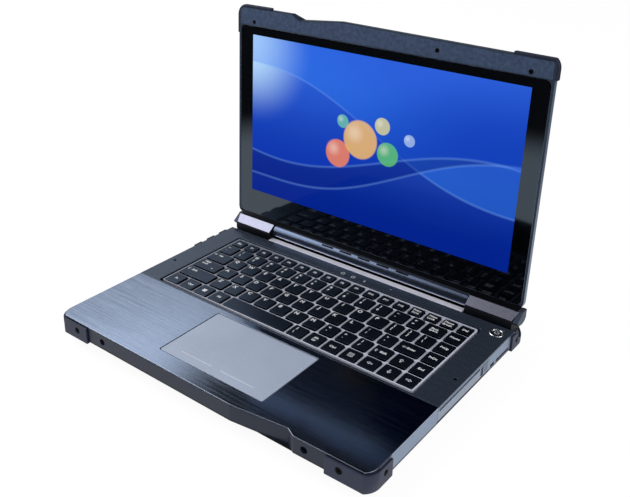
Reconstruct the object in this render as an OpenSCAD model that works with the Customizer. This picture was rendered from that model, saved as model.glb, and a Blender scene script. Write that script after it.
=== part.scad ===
// Semi-rugged 13.3 inch notebook computer, standing open on its feet.
// Millimetres, +Z up, +X to the user's right, +Y to the rear.
// The origin lies on the table under the middle of the base.

/* [Base] */
// Width of the base over its side rails
base_w = 329; // [324:1:340]
// Depth of the base from the front edge to the rear wall
base_d = 248.3; // [244:0.1:256]
// Height of the deck above the table
deck_z = 26; // [26:0.5:30]
// Height of the rubber feet
foot_h = 3; // [2:0.5:4]
// Height of the upright side rail, deck plate included
rail_h = 14; // [13.5:0.1:15]
// Radius of the base's corners in plan
corner_r = 13; // [11:1:16]
// Thickness of the side rail
rail_t = 2.2; // [1.8:0.1:2.6]
// Thickness of the deck plates
plate_t = 1.4; // [1.2:0.1:1.6]
// Thickness of the bottom shell
floor_t = 1.6; // [1.2:0.1:2]
// How far the bevel under the rail runs inwards
bevel_run = 18; // [14:1:22]

/* [Front edge] */
// How far the front edge falls back at its left end
front_fall_left = 1.5; // [0:0.5:3]
// How far the front edge falls back at its right end
front_fall_right = 3; // [2:0.5:4]
// Where the finger grip starts, right of the middle
grip_start_x = 40; // [30:1:50]
// Length of the finger grip's slope
grip_slope_l = 51; // [45:1:55]
// Depth of the finger grip at its deepest point
grip_depth = 6.4; // [5:0.2:7]
// Length of the short step back out of the grip
grip_step_l = 8; // [5:1:10]

/* [Keyboard] */
// Distance from the base's side to the keyboard frame
kb_side = 25.7; // [24.5:0.1:29]
// Depth of one row of keys
key_v = 18.8; // [18.2:0.1:19]
// Depth of the function key row
fn_v = 14.4; // [13:0.2:15]
// Space between two keycaps of one row
key_gap = 3.5; // [3:0.1:3.8]
// Space between two rows of keycaps
row_gap = 2.8; // [2.6:0.1:3.2]
// Space between a keycap and the frame around it
cap_clear = 0.5; // [0.4:0.1:0.7]
// Height of a keycap
cap_h = 2.4; // [2.2:0.1:2.6]
// Corner radius of a keycap
cap_r = 1.2; // [0.8:0.1:1.6]
// How far a key travels
key_travel = 1.8; // [1.2:0.1:2]
// How far the caps stand above the keyboard frame
cap_rise = 1.6; // [0.8:0.1:1.7]
// Rim of the keyboard frame beyond the outermost key units
kb_rim = 0.8; // [0.5:0.1:1.5]
// Thickness of the keyboard frame
kb_frame_t = 1.2; // [1:0.1:1.4]
// Channel between the keyboard frame and the deck
well_gap = 2.4; // [2:0.1:3]
// Distance from the rear wall to the keyboard frame
kb_inset = 39; // [38.5:0.1:42]
// Distance from the rear wall to the rear edge of the deck
deck_inset = 22; // [21.8:0.1:22.6]
// Depth of the deck's strip in front of the keyboard frame
deck_strip = 4.5; // [4:0.1:5.5]

/* [Touchpad] */
// Width of the touchpad
pad_w = 111; // [100:1:116]
// Share of the palm rest's depth that the touchpad takes
pad_share = 0.7415; // [0.6:0.0005:0.76]
// Offset of the touchpad to the right of the middle
pad_x = 1.2; // [0:0.1:3]
// Distance from the palm rest's rear edge to the touchpad
pad_setback = 6.8; // [5:0.1:9]
// Thickness of the touchpad
pad_t = 1.6; // [1.2:0.1:2]
// Gap around the touchpad
pad_gap = 0.6; // [0.5:0.1:0.8]
// Angle that the touchpad turns when it clicks
pad_click = 0.5; // [0.3:0.1:0.6]

/* [Hinge] */
// Height of the hinge axis above the deck
axis_rise = 2.2; // [2:0.1:2.6]
// Distance from the rear wall to the hinge axis
axis_inset = 8.9; // [8.5:0.1:9.5]
// Radius of the round hinge blocks on the lid
block_r = 11.2; // [11:0.1:11.4]
// Running gap between the hinge blocks and their recess
block_gap = 0.9; // [0.6:0.1:1.2]
// Distance from the base's side to the fixed barrel between the hinge blocks
barrel_inset = 51; // [46:0.5:54]
// Radius of the barrel's rounded top
barrel_r = 7.8; // [7.4:0.1:7.9]
// Radius of the hinge shafts
shaft_r = 2; // [1.6:0.1:2.2]
// Running clearance around the hinge shafts
shaft_clear = 0.05; // [0.03:0.01:0.08]

/* [Lid] */
// Angle by which the open lid leans back from upright
lid_lean = 1.85; // [0:0.05:5]
// How much wider the lid is than the base
lid_extra = 0.6; // [0:0.2:2]
// How much shorter the lid's reach from the hinge axis is than the base's depth
lid_setback = 13.3; // [12:0.1:14.3]
// Thickness of the lid from the glass to its back
lid_t = 9; // [8:0.5:10]
// Distance of the glass in front of the hinge axis
glass_off = 1.4; // [1.2:0.1:1.6]
// How far the rim stands proud of the glass
rim_rise = 0.5; // [0.3:0.1:0.5]
// Width of the rim beside the glass
rim_w = 1.9; // [1.5:0.1:2.5]
// Height of the lid's lower edge above the hinge axis
chin_z = 11.4; // [11.4:0.1:12.5]
// Depth of the metal band above the glass
band_w = 17.5; // [16:0.5:19]
// Thickness of the cover glass
glass_t = 1; // [0.8:0.1:1.2]
// Least distance from the picture to the lid's side
screen_side = 17.9; // [17:0.1:20]
// Least distance from the picture to the lid's top edge
screen_above = 26.6; // [26:0.1:30]
// Height of the picture's lower edge above the hinge axis
screen_z = 43.2; // [42:0.1:44]
// Height of the lid's rim under the glass
chin_h = 4.6; // [3:0.1:5.4]
// Radius of the glass's corners
glass_r = 6; // [4:0.5:8]

/* [Bumpers] */
// How far the rubber bumpers stand proud
bumper_t = 2; // [1.5:0.1:2.5]
// How far the base bumpers reach below the rail
bumper_drop = 3; // [2:0.5:4]
// Length of a bumper along the front
bumper_front_l = 37; // [30:1:42]
// Length of a bumper along the side
bumper_side_l = 29; // [28:1:38]
// Radius of the screw holes in the front
screw_hole_r = 3; // [2.6:0.1:3.2]

/* [Drive bay] */
// Width of the drive bay's door
bay_w = 85; // [82:1:88]
// Distance from the keyboard frame's front to the bay, towards the front
bay_lead = 5.2; // [4:0.1:7]
// Height of the drive bay's door
bay_h = 10; // [9.6:0.1:10.4]
// Thickness of the storage drive
drive_t = 6.8; // [5:0.1:7]
// Width of the storage drive
drive_w = 69.9; // [69:0.1:71]
// Length of the storage drive
drive_l = 98; // [96:0.5:100]
// Running gap around the drive caddy
bay_clear = 0.3; // [0.3:0.05:0.5]

/* [Ports] */
// Distance between neighbouring port covers
port_pitch = 18.4; // [17.5:0.1:19]
// Distance from the rear wall to the rearmost port's middle
port_inset = 36; // [34:0.5:38]
// Width of a port cover
cover_w = 15; // [14:0.1:15.6]
// Thickness of a port cover
cover_t = 1.2; // [1:0.1:1.4]
// Radius of the audio jack's bore
audio_r = 1.8; // [1.75:0.05:1.9]
// Radius of the power inlet's bore
inlet_r = 2.75; // [2.5:0.05:3]

/* [Inside] */
// Thickness of the circuit board
board_t = 1.2; // [1:0.1:1.6]
// Height of the board's standoffs
standoff_h = 3.4; // [3:0.1:4]
// Thickness of the battery pack
battery_t = 12; // [10:0.5:14]
// Height of the fan housing
fan_h = 9; // [8:0.5:10]
// Radius of the fan rotor
fan_r = 25; // [22:0.5:27]
// Number of fan blades
fan_blades = 19; // [15:1:25]

/* [Hidden] */
$fn = 48;

// A hair of extra length for cuts, so that faces never coincide
eps = 0.1;

// Levels of the base
rail_z = deck_z - rail_h;
plate_z = deck_z - plate_t;
floor_z = foot_h + floor_t;
front_y = -base_d / 2;
rear_y = base_d / 2;
side_x = base_w / 2;

// Front edge line, from left to right
front_line = [
  [-side_x, front_y + front_fall_left],
  [grip_start_x, front_y],
  [grip_start_x + grip_slope_l, front_y + grip_depth],
  [grip_start_x + grip_slope_l + grip_step_l, front_y + front_fall_right * 0.7],
  [side_x, front_y + front_fall_right]
];

// Keyboard block: the widths of the keys of each row in key units, from front to rear
function same(n, w) = [for (i = [1:n]) w];
key_rows = [
  concat(same(4, 1), [4], same(7, 1)),
  concat([2.15], same(7, 1), same(3, 0.92), [1.09, 1, 1]),
  concat([1.7], same(10, 1), [0.9, 1.4, 1]),
  concat([1.45], same(10, 1), [0.85, 0.8, 0.9, 1]),
  concat(same(12, 1), [0.8, 1.2, 1]),
  same(17, 15 / 17)
];
row_units = 15;
last_row = len(key_rows) - 1;
kb_w = base_w - 2 * kb_side;
key_u = (kb_w - 2 * (kb_rim - key_gap / 4)) / row_units;
kb_d = last_row * key_v + fn_v + 2 * kb_rim;
kb_y1 = rear_y - kb_inset;
kb_y0 = kb_y1 - kb_d;
seam_y = kb_y0 - deck_strip;
deck_rear_y = rear_y - deck_inset;
cap_top = deck_z;
cap_bottom = cap_top - cap_h;
kb_frame_top = cap_top - cap_rise;
kb_plate_t = 0.6;
kb_plate_top = cap_bottom - key_travel - 0.4;
kb_plate_lap = 3;
kb_wall = 1;

function sum_to(list, n) = n <= 0 ? 0 : list[n - 1] + sum_to(list, n - 1);
function key_x0(row, i) = (sum_to(key_rows[row], i) - row_units / 2) * key_u;
function key_x1(row, i) = key_x0(row, i + 1);
function key_y0(row) = kb_y0 + kb_rim + row * key_v;
function key_y1(row) = key_y0(row) + (row == last_row ? fn_v : key_v);

// Touchpad
pad_y1 = seam_y - pad_setback;
pad_y0 = pad_y1 - pad_share * (seam_y - front_y);
pad_x0 = pad_x - pad_w / 2;
pad_x1 = pad_x + pad_w / 2;
pad_top = deck_z - 0.2;
pad_bottom = pad_top - pad_t;
pad_tray_z = pad_bottom - 3;
pad_tray_t = 1;

// Hinge axis, and the lid's own axes: x across, y from glass to back, z up the lid
axis_y = rear_y - axis_inset;
axis_z = deck_z + axis_rise;
recess_r = block_r + block_gap;
trough_t = 1.4;
barrel_x = side_x - barrel_inset;
lid_w = base_w + lid_extra;
block_x0 = barrel_x + 1;
block_x1 = lid_w / 2 - 4.4;
barrel_y = axis_y + 2;
barrel_z = axis_z + 2.4;
barrel_wall = 1.2;
barrel_front_y = barrel_y - 6.2;
foot_rise = 1.6;
lip_rise = 2.8;
strip_t = 1.5;
ear_t = 2.5;
ear_r = 2.8;
ear_x = barrel_x - barrel_wall - 1 - ear_t;
shaft_l = 22;
knuckle_r = 5;

// Lid, in the lid's own axes
lid_reach = base_d - lid_setback;
screen_w = min(lid_w - 2 * screen_side, (lid_reach - screen_z - screen_above) * 16 / 9);
screen_h = screen_w * 9 / 16;
front_face = -glass_off - rim_rise;
glass_front = -glass_off;
glass_back = glass_front + glass_t;
lid_back_y = glass_front + lid_t;
lid_side_x = lid_w / 2;
lid_corner_r = 9;
back_inset = 5;
rim_depth = 4.5;
shell_t = 1.6;
glass_x = lid_side_x - rim_w;
glass_z = chin_z + chin_h;
band_z = lid_reach - band_w;
glass_top = band_z - 0.4;
notch_inset = 66.8;
notch_x0 = -lid_side_x + notch_inset;
notch_x1 = notch_x0 + 9.5;
notch_x2 = notch_x1 + 47.5;
notch_depth = 5.4;
lid_fall_right = 2.6;
lid_fall_left = 0.5;
// Height of the top edge left of the notch, on a straight line to its highest point
function top_left(x) = lid_reach - lid_fall_left * (notch_x2 - x) / (notch_x2 + lid_side_x);
lid_line = [
  [-lid_side_x, top_left(-lid_side_x)],
  [notch_x0, top_left(notch_x0)],
  [notch_x1, lid_reach - notch_depth],
  [notch_x2, lid_reach],
  [lid_side_x, lid_reach - lid_fall_right]
];
panel_w = screen_w + 8;
panel_h = screen_h + 10;
panel_t = 3.2;
strip_top = [glass_front, chin_z - 1];
strip_low = [-block_r + 0.6, 3.4];
strip_angle = atan2(strip_top[1] - strip_low[1], strip_top[0] - strip_low[0]);
strip_l = norm(strip_top - strip_low);
trim_t = 0.8;

// Drive bay, in the right-hand rail
bay_y0 = kb_y0 - bay_lead;
bay_y1 = bay_y0 + bay_w;
bay_z0 = rail_z + 0.8;
bay_z1 = bay_z0 + bay_h;
tray_t = 0.8;
tray_y0 = bay_y0 + 6;
tray_y1 = tray_y0 + drive_w + 2 * (tray_t + 0.2);
tray_x0 = side_x - rail_t - drive_l - 3;
latch_l = 9;
latch_travel = 4;

// Ports in the left-hand rail
port_ys = [for (i = [2:-1:0]) rear_y - port_inset - i * port_pitch];
port_z = rail_z + 6.3;
jack_y = [for (i = [1:2]) port_ys[0] - i * port_pitch];
socket_t = 0.4;
socket_l = 14;
usb_w = 12.2;
usb_h = 4.7;
network_w = 11.8;
network_h = 8.2;
cover_h = 10.8;
cover_z0 = rail_z + 0.6;
cover_pivot = [-side_x - 0.1, cover_z0 + 0.3];
tab_w = 10.4;
tab_out = 2.6;
pocket_depth = cover_t + 0.3;

// Pieces inside the base
board_z = floor_z + standoff_h;
board_top = board_z + board_t;
fan_z = board_z;
fan_wall = 1.2;
fan_half = fan_r + 5;
fan_xy = [-barrel_x + fan_half + 3.5, rear_y - rail_t - fan_half - 16];
cpu_xy = [fan_xy[0] + fan_half + 42, fan_xy[1] - 20];
board_x0 = -side_x + 48.5;
board_x1 = side_x - 46.5;
board_y0 = kb_y0 + 0.85;
board_y1 = rear_y - 36;
door_y0 = board_y0 - 6;
fin_y0 = fan_xy[1] + fan_half + 0.2;
fin_z = rail_z + 0.2;
pipe_r = 1.5;
screw_r = 1.5;
head_r = 2.8;
foot_x = side_x - bevel_run - 14;
foot_y = base_d / 2 - bevel_run - 10;
battery_x = foot_x - 24.5;
battery_y0 = front_y + 28;
battery_y1 = door_y0 - 14;

// ---------------------------------------------------------------- shapes in plan

// Points of a rectangle with rounded corners, each corner in the given number of steps
function corner(cx, cy, r, a, steps) =
  [for (i = [0:steps]) [cx + r * cos(a + 90 * i / steps), cy + r * sin(a + 90 * i / steps)]];
function rounded(x0, y0, x1, y1, r, steps) = concat(
  corner(x1 - r, y1 - r, r, 0, steps), corner(x0 + r, y1 - r, r, 90, steps),
  corner(x0 + r, y0 + r, r, 180, steps), corner(x1 - r, y0 + r, r, 270, steps));

// A box given by two opposite corners
module span(a, b) {
  translate(a) cube(b - a);
}

// A rectangle with true round corners
module panel_2d(x0, y0, x1, y1, r) {
  translate([x0 + r, y0]) square([x1 - x0 - 2 * r, y1 - y0]);
  translate([x0, y0 + r]) square([x1 - x0, y1 - y0 - 2 * r]);
  for (x = [x0 + r, x1 - r], y = [y0 + r, y1 - r]) translate([x, y]) circle(r);
}

// The base's outline, pulled inwards by the given inset
module base_2d(inset = 0) {
  difference() {
    panel_2d(-side_x + inset, front_y + inset, side_x - inset, rear_y - inset,
             max(corner_r - inset, 1));
    translate([0, inset])
      polygon(concat(front_line, [[side_x + 20, front_line[4][1]],
        [side_x + 20, front_y - 30], [-side_x - 20, front_y - 30],
        [-side_x - 20, front_line[0][1]]]));
  }
}

// The lid's outline in its own x and z, pulled inwards by the given inset
module lid_2d(inset = 0) {
  difference() {
    panel_2d(-lid_side_x + inset, chin_z, lid_side_x - inset, lid_reach - inset,
             max(lid_corner_r - inset, 1));
    lid_top_cut(inset);
  }
}

// What lies above the lid's top edge
module lid_top_cut(inset = 0) {
  translate([0, -inset])
    polygon(concat(lid_line, [[lid_side_x + 20, lid_line[4][1]],
      [lid_side_x + 20, lid_reach + 30], [-lid_side_x - 20, lid_reach + 30],
      [-lid_side_x - 20, lid_line[0][1]]]));
}

// A slab of an outline between two heights
module slab(z0, z1) {
  translate([0, 0, z0]) linear_extrude(z1 - z0) children();
}

// A slab of an outline in the lid's x and z, between two depths y
module lid_slab(y0, y1) {
  translate([0, y1, 0]) rotate([90, 0, 0]) linear_extrude(y1 - y0) children();
}

// A rod along x, from x0 to x1, through the given y and z
module rod_x(x0, x1, y, z, r) {
  translate([min(x0, x1), y, z]) rotate([0, 90, 0]) cylinder(h = abs(x1 - x0), r = r);
}

// A rod along y, from y0 to y1, through the given x and z
module rod_y(y0, y1, x, z, r) {
  translate([x, y1, z]) rotate([90, 0, 0]) cylinder(h = y1 - y0, r = r);
}

// Copies of the children on the right and, mirrored, on the left
module both_sides() {
  children();
  mirror([1, 0, 0]) children();
}

// Puts the lid's own axes at the hinge, leaning back
module on_lid() {
  translate([0, axis_y, axis_z]) rotate([-lid_lean, 0, 0]) children();
}

// ---------------------------------------------------------------- shell of the base

// Positions of the screws that hold the bottom case
case_screw_xy = [for (x = [-1, 1], y = [-foot_y + 6, foot_y]) [x * (foot_x - 16), y]];
flange_t = 1.2;

module bottom_case() color("#20232b") {
  difference() {
    union() {
      hull() {
        slab(rail_z - flange_t, rail_z - flange_t / 2) base_2d_convex(0, $fn = 32);
        slab(foot_h, foot_h + 0.5) base_2d_convex(bevel_run, $fn = 32);
      }
      slab(rail_z - flange_t, rail_z) base_2d();
    }
    hull() {
      slab(rail_z, rail_z + eps) base_2d_convex(rail_t, grip_depth + 1, $fn = 32);
      slab(floor_z, floor_z + 0.5) base_2d_convex(bevel_run + 1, grip_depth + 1, $fn = 32);
    }
    slab(rail_z - flange_t, rail_z + 1) front_notch();
    air_inlet();
    door_seat();
    for (p = case_screw_xy) translate([p[0], p[1], foot_h - eps]) {
      cylinder(h = floor_t, r = head_r + 0.2);
      cylinder(h = floor_t + 2 * eps, r = screw_r);
    }
  }
  standoffs();
  bay_rails();
}

// The base's outline without its finger grip, for the hulls of the bottom case
module base_2d_convex(inset, front_fall = front_fall_right) {
  panel_2d(-side_x + inset, front_y + front_fall + inset, side_x - inset, rear_y - inset,
           max(corner_r - inset / 2, 2));
}

// Posts under the deck plates that take the case screws, for screws between two depths
module case_posts(y0, y1) {
  for (p = case_screw_xy) {
    if (p[1] > y0 && p[1] < y1) translate([p[0], p[1], floor_z]) difference() {
      cylinder(h = plate_z - floor_z + eps, r = 3.4);
      translate([0, 0, -eps]) cylinder(h = 10, r = screw_r);
    }
  }
}

// What the finger grip takes from the flange, above the ledge that runs on below it
module front_notch() {
  polygon([front_line[1], front_line[2], front_line[3], [front_line[3][0], front_y - 5],
    [front_line[1][0], front_y - 5]]);
}

// Slots in the floor under the fan
module air_inlet() {
  slot_l = 34;
  for (i = [-4:4]) {
    translate([fan_xy[0] - slot_l / 2, fan_xy[1] + i * 5 - 1, foot_h - eps])
      cube([slot_l, 2, floor_t + 2 * eps]);
  }
}

// Opening under the memory module, closed by the service door
door_x0 = -42;
door_x1 = 34;
door_y1 = door_y0 + 42;
module door_seat() {
  span([door_x0, door_y0, foot_h - eps], [door_x1, door_y1, foot_h + 0.8]);
  span([door_x0 + 3, door_y0 + 3, foot_h], [door_x1 - 3, door_y1 - 3, floor_z + eps]);
}

module service_door() color("#242730") {
  gap = 0.2;
  difference() {
    span([door_x0 + gap, door_y0 + gap, foot_h], [door_x1 - gap, door_y1 - gap, foot_h + 0.8]);
    for (x = [door_x0 + 8, door_x1 - 8]) {
      translate([x, door_y0 + 4, foot_h - eps]) cylinder(h = 2, r = screw_r);
    }
  }
}

// Posts that carry the circuit board
board_posts = [
  [board_x0 + 8, board_y0 + 8], [board_x0 + 8, fan_xy[1] - fan_half - 14],
  [tray_x0 - 15, board_y0 + 8], [tray_x0 - 15, board_y1 - 6],
  [fan_xy[0] + fan_half + 20, board_y1 - 6], [board_x1 - 6, board_y1 - 6]
];
module standoffs() {
  for (p = board_posts) translate([p[0], p[1], floor_z]) cylinder(h = standoff_h, r = 3);
}

// Rails that carry the drive caddy
module bay_rails() {
  for (y = [tray_y0 + 1, tray_y1 - 4]) {
    span([tray_x0 + 4, y, floor_z], [side_x - bevel_run - 4, y + 3, bay_z0 - 0.3]);
  }
}

module side_frame() color("#5b6370") {
  difference() {
    union() {
      slab(rail_z, plate_z) difference() {
        base_2d();
        base_2d(rail_t);
      }
      hinge_troughs();
      cross_bars();
      for (x = front_screw_x) rod_y(front_y + 3, front_y + 13, x, screw_z, screw_hole_r + 1.4);
      both_sides() deck_screw_boss();
    }
    hinge_recesses();
    span([-barrel_x, strip_y1 - 0.4, barrel_base_z], [barrel_x, rear_y + 1, plate_z + eps]);
    for (x = front_screw_x) front_screw_cut(x);
    both_sides() {
      translate([deck_screw_xy[0], deck_screw_xy[1], plate_z - 5]) cylinder(h = 6, r = deck_screw_r);
      rod_y(front_y - 1, front_y + 8, bumper_screw_x, screw_z, screw_r);
      rod_x(side_x - 4, side_x + 1, side_screw_y, screw_z, small_screw_r);
      rod_x(side_x - 4, side_x + 1, rear_screw_y, rear_screw_z, small_screw_r);
    }
    drive_opening();
    card_slot();
    lock_slot();
    port_window(0);
    rod_x(-side_x - eps, -side_x + rail_t + eps, jack_y[0], port_z, audio_r + 1.1);
    rod_x(-side_x - eps, -side_x + rail_t + eps, jack_y[1], port_z, inlet_r + 1);
    exhaust();
  }
}

// Bars across the frame: under the rear of the deck and the barrel, beside the hinge
// recesses, and under the seam between the deck plates
module cross_bars() {
  bar_t = 1.4;
  span([-barrel_x, deck_rear_y - 1, barrel_base_z - 2], [barrel_x, barrel_front_y + 1, plate_z]);
  both_sides()
    span([barrel_x - trough_t, deck_rear_y - 1, rail_z], [barrel_x, rear_y - 1, plate_z]);
  span([-side_x + rail_t / 2, seam_y - 4, plate_z - bar_t],
       [side_x - rail_t / 2, kb_y0 - well_gap - 1.4, plate_z]);
}

// Lugs on the side rails for the screws through the deck
module deck_screw_boss() {
  span([deck_screw_xy[0] - 2.3, deck_screw_xy[1] - 3, plate_z - 1.4],
       [side_x - rail_t / 2, deck_screw_xy[1] + 3, plate_z]);
}

// Screw holes in the front face of the case, beside the bumpers
front_screw_x = [-side_x + 55.8, side_x - 55.8];
screw_z = deck_z - 8;
module front_screw_cut(x) {
  rod_y(front_y - 1, front_y + 10, x, screw_z, screw_hole_r);
  rod_y(front_y, front_y + 14, x, screw_z, screw_r);
}

// Round troughs in which the lid's hinge blocks turn
module hinge_troughs() {
  both_sides() intersection() {
    rod_x(barrel_x - trough_t, side_x, axis_y, axis_z, recess_r + trough_t);
    slab(rail_z, plate_z) base_2d();
  }
}
module hinge_recesses() {
  both_sides() rod_x(barrel_x, side_x + 5, axis_y, axis_z, recess_r);
  both_sides() span([barrel_x, axis_y, axis_z - recess_r * 0.62], [side_x + 5, rear_y + 1, plate_z + eps]);
}

// The opening for the drive caddy and its door
module drive_opening() {
  span([side_x - rail_t - eps, bay_y0 - bay_clear, rail_z - eps],
       [side_x + eps, bay_y1 + bay_clear, bay_z1 + bay_clear]);
}

// Memory card slot and security lock slot, low in the right-hand rail
slot_y0 = bay_y1 + 3.4;
lock_w = 7.4;
lock_h = 3;
card_w = 24.4;
card_h = 2.6;
card_y0 = slot_y0 + lock_w + 3;
module lock_slot() {
  span([side_x - rail_t - eps, slot_y0, rail_z + 0.6],
       [side_x + eps, slot_y0 + lock_w, rail_z + 0.6 + lock_h]);
}
module card_slot() {
  span([side_x - rail_t - eps, card_y0, rail_z + 0.6],
       [side_x + eps, card_y0 + card_w, rail_z + 0.6 + card_h]);
}

// Window in the left-hand rail for the port plate, smaller by the given inset
port_margin = 9.5;
module port_window(inset) {
  span([-side_x - 1, port_ys[0] - port_margin + inset, rail_z - eps],
       [-side_x + rail_t + 0.3, port_ys[2] + port_margin - inset, plate_z + eps]);
}

// Shallow pockets in the port plate that the port covers close
module cover_pocket(y) {
  clear = 0.3;
  span([-side_x - eps, y - cover_w / 2 - clear, cover_z0 - clear],
       [-side_x + pocket_depth, y + cover_w / 2 + clear, cover_z0 + cover_h + clear]);
}
module usb_hole(y) {
  span([-side_x - eps, y - usb_w / 2, port_z - usb_h / 2],
       [-side_x + rail_t + eps, y + usb_w / 2, port_z + usb_h / 2]);
}
module network_hole(y) {
  span([-side_x - eps, y - network_w / 2, port_z - network_h / 2],
       [-side_x + rail_t + eps, y + network_w / 2, port_z + network_h / 2]);
}

// Plate in the left-hand rail that holds the covered ports
module port_plate() color("#5b6370") {
  difference() {
    intersection() {
      span([-side_x, front_y, rail_z], [-side_x + rail_t, rear_y, plate_z]);
      port_window(0.1);
    }
    for (y = port_ys) cover_pocket(y);
    for (i = [0, 1]) usb_hole(port_ys[i]);
    network_hole(port_ys[2]);
  }
}

// Slots in the rear wall behind the cooling fins
fin_w = 56;
module exhaust() {
  slots = 12;
  pitch = fin_w / slots;
  for (i = [0:slots - 1]) {
    span([fan_xy[0] - fin_w / 2 + (i + 0.25) * pitch, rear_y - rail_t - eps, rail_z + 1],
         [fan_xy[0] - fin_w / 2 + (i + 0.75) * pitch, rear_y + eps, rail_z + 8]);
  }
}

module palm_rest() color("#7c88a6") {
  seam_gap = 0.15;
  difference() {
    slab(plate_z, deck_z) intersection() {
      base_2d();
      translate([-side_x, front_y]) square([base_w, seam_y - seam_gap - front_y]);
    }
    slab(plate_z - eps, deck_z + eps)
      panel_2d(pad_x0 - pad_gap, pad_y0 - pad_gap, pad_x1 + pad_gap, pad_y1 + pad_gap, 2);
  }
  case_posts(front_y, 0);
}

// Features of the rear deck
power_xy = [side_x - 11, deck_rear_y - 11.4];
power_ring_r = 6.6;
power_hole_r = 4.5;
power_travel = 0.8;
light_x = [-10.7, 1.3, 14.4];
light_y = deck_rear_y - 9;
light_r = 1.3;
dot_xy = [42.6, deck_rear_y - 6.5];
dot_r = 0.6;
deck_screw_xy = [side_x - 7.2, kb_y0 + 34.5];
deck_screw_r = 1;

module keyboard_deck() color("#1d2029") {
  wall_t = 1.2;
  x1 = kb_w / 2 + well_gap;
  y0 = kb_y0 - well_gap;
  y1 = kb_y1 + well_gap;
  difference() {
    union() {
      slab(plate_z, deck_z) intersection() {
        base_2d();
        translate([-side_x, seam_y]) square([base_w, deck_rear_y - seam_y]);
      }
      slab(kb_plate_top, plate_z + eps)
        panel_2d(-x1 - wall_t, y0 - wall_t, x1 + wall_t, y1 + wall_t, 2 + wall_t);
    }
    slab(kb_plate_top - eps, deck_z + eps) panel_2d(-x1, y0, x1, y1, 2);
    translate([power_xy[0], power_xy[1], plate_z - eps]) cylinder(h = 3, r = power_ring_r + 0.05);
    for (x = light_x) translate([x, light_y, plate_z - eps]) cylinder(h = 3, r = light_r + 0.05);
    translate([dot_xy[0], dot_xy[1], plate_z - eps]) cylinder(h = 3, r = dot_r + 0.05);
    both_sides() translate([deck_screw_xy[0], deck_screw_xy[1], plate_z - eps]) cylinder(h = 3, r = 1.7);
  }
  case_posts(0, rear_y);
}

strip_y1 = barrel_front_y - 2;
module accent_strip() color("#9aa0ac") {
  span([-barrel_x, deck_rear_y, plate_z], [barrel_x, strip_y1, plate_z + strip_t]);
}

// Fixed barrel between the hinge blocks: a rounded cover on a hollow foot
barrel_base_z = plate_z - 2.6;
groove_z0 = barrel_base_z + 2.4;
groove_z1 = barrel_z - 2;
module barrel_2d() {
  difference() {
    union() {
      translate([barrel_y, barrel_z]) circle(barrel_r);
      translate([barrel_front_y, barrel_base_z])
        square([rear_y - barrel_front_y, barrel_z - barrel_base_z]);
      translate([strip_y1, barrel_base_z]) square([rear_y - strip_y1, groove_z0 - barrel_base_z]);
    }
    translate([strip_y1 - 3, groove_z0])
      square([barrel_front_y - strip_y1 + 3, groove_z1 - groove_z0]);
  }
}
module barrel_hollow_2d() {
  translate([barrel_front_y + barrel_wall, barrel_base_z - eps])
    square([rear_y - barrel_front_y - 2 * barrel_wall, barrel_z - barrel_base_z]);
  intersection() {
    translate([barrel_y, barrel_z]) circle(barrel_r - barrel_wall);
    translate([barrel_y - barrel_r, groove_z1 + barrel_wall]) square(2 * barrel_r);
  }
}
module along_x(x0, x1) {
  translate([x0, 0, 0]) rotate([90, 0, 90]) linear_extrude(x1 - x0) children();
}
module hinge_barrel() color("#6f7787") {
  slot_l = 14;
  slot_w = 1.8;
  slot_d = 0.5;
  slot_pitch = 22;
  difference() {
    along_x(-barrel_x, barrel_x) barrel_2d();
    along_x(-barrel_x + barrel_wall, barrel_x - barrel_wall) barrel_hollow_2d();
    both_sides() rod_x(barrel_x - barrel_wall - eps, barrel_x + eps, axis_y, axis_z, shaft_r + 0.3);
    for (i = [-2:2]) {
      translate([i * slot_pitch, barrel_y, barrel_z]) rotate([38, 0, 0])
        translate([-slot_l / 2, -slot_w / 2, barrel_r - slot_d]) cube([slot_l, slot_w, 2]);
    }
  }
}

module power_ring() color("#d9dce2") {
  translate([power_xy[0], power_xy[1], plate_z]) difference() {
    cylinder(h = plate_t + 0.4, r = power_ring_r);
    translate([0, 0, -eps]) cylinder(h = 3, r = power_hole_r);
  }
}

module status_lights() color("#dfe6f5") {
  for (x = light_x) translate([x, light_y, plate_z]) cylinder(h = plate_t, r = light_r);
  translate([dot_xy[0], dot_xy[1], plate_z]) cylinder(h = plate_t, r = dot_r);
}

module power_button() color("#2b2e36") {
  translate([power_xy[0], power_xy[1], plate_z - 2]) cylinder(h = plate_t + 1.9, r = power_hole_r - 0.2);
  translate([power_xy[0], power_xy[1], plate_z - 2]) cylinder(h = 1.2, r = power_hole_r + 1.2);
}

// ---------------------------------------------------------------- bumpers, screws and feet

bumper_z0 = rail_z - bumper_drop;
bumper_z1 = deck_z - 1.8;
bumper_screw_x = side_x - 24.5;
side_screw_y = front_y + 20;
rear_screw_y = rear_y - 19;
rear_screw_z = deck_z - 9.5;
small_screw_r = 1.2;
small_head_r = 2;

// The wrap of a bumper: outside the rail above, and a lip that turns in under the rail
module bumper_wrap() {
  slab(bumper_z0, bumper_z1) difference() {
    base_2d(-bumper_t);
    base_2d();
  }
  slab(bumper_z0, rail_z - flange_t - 0.7) difference() {
    base_2d();
    base_2d(1.5);
  }
}

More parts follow.
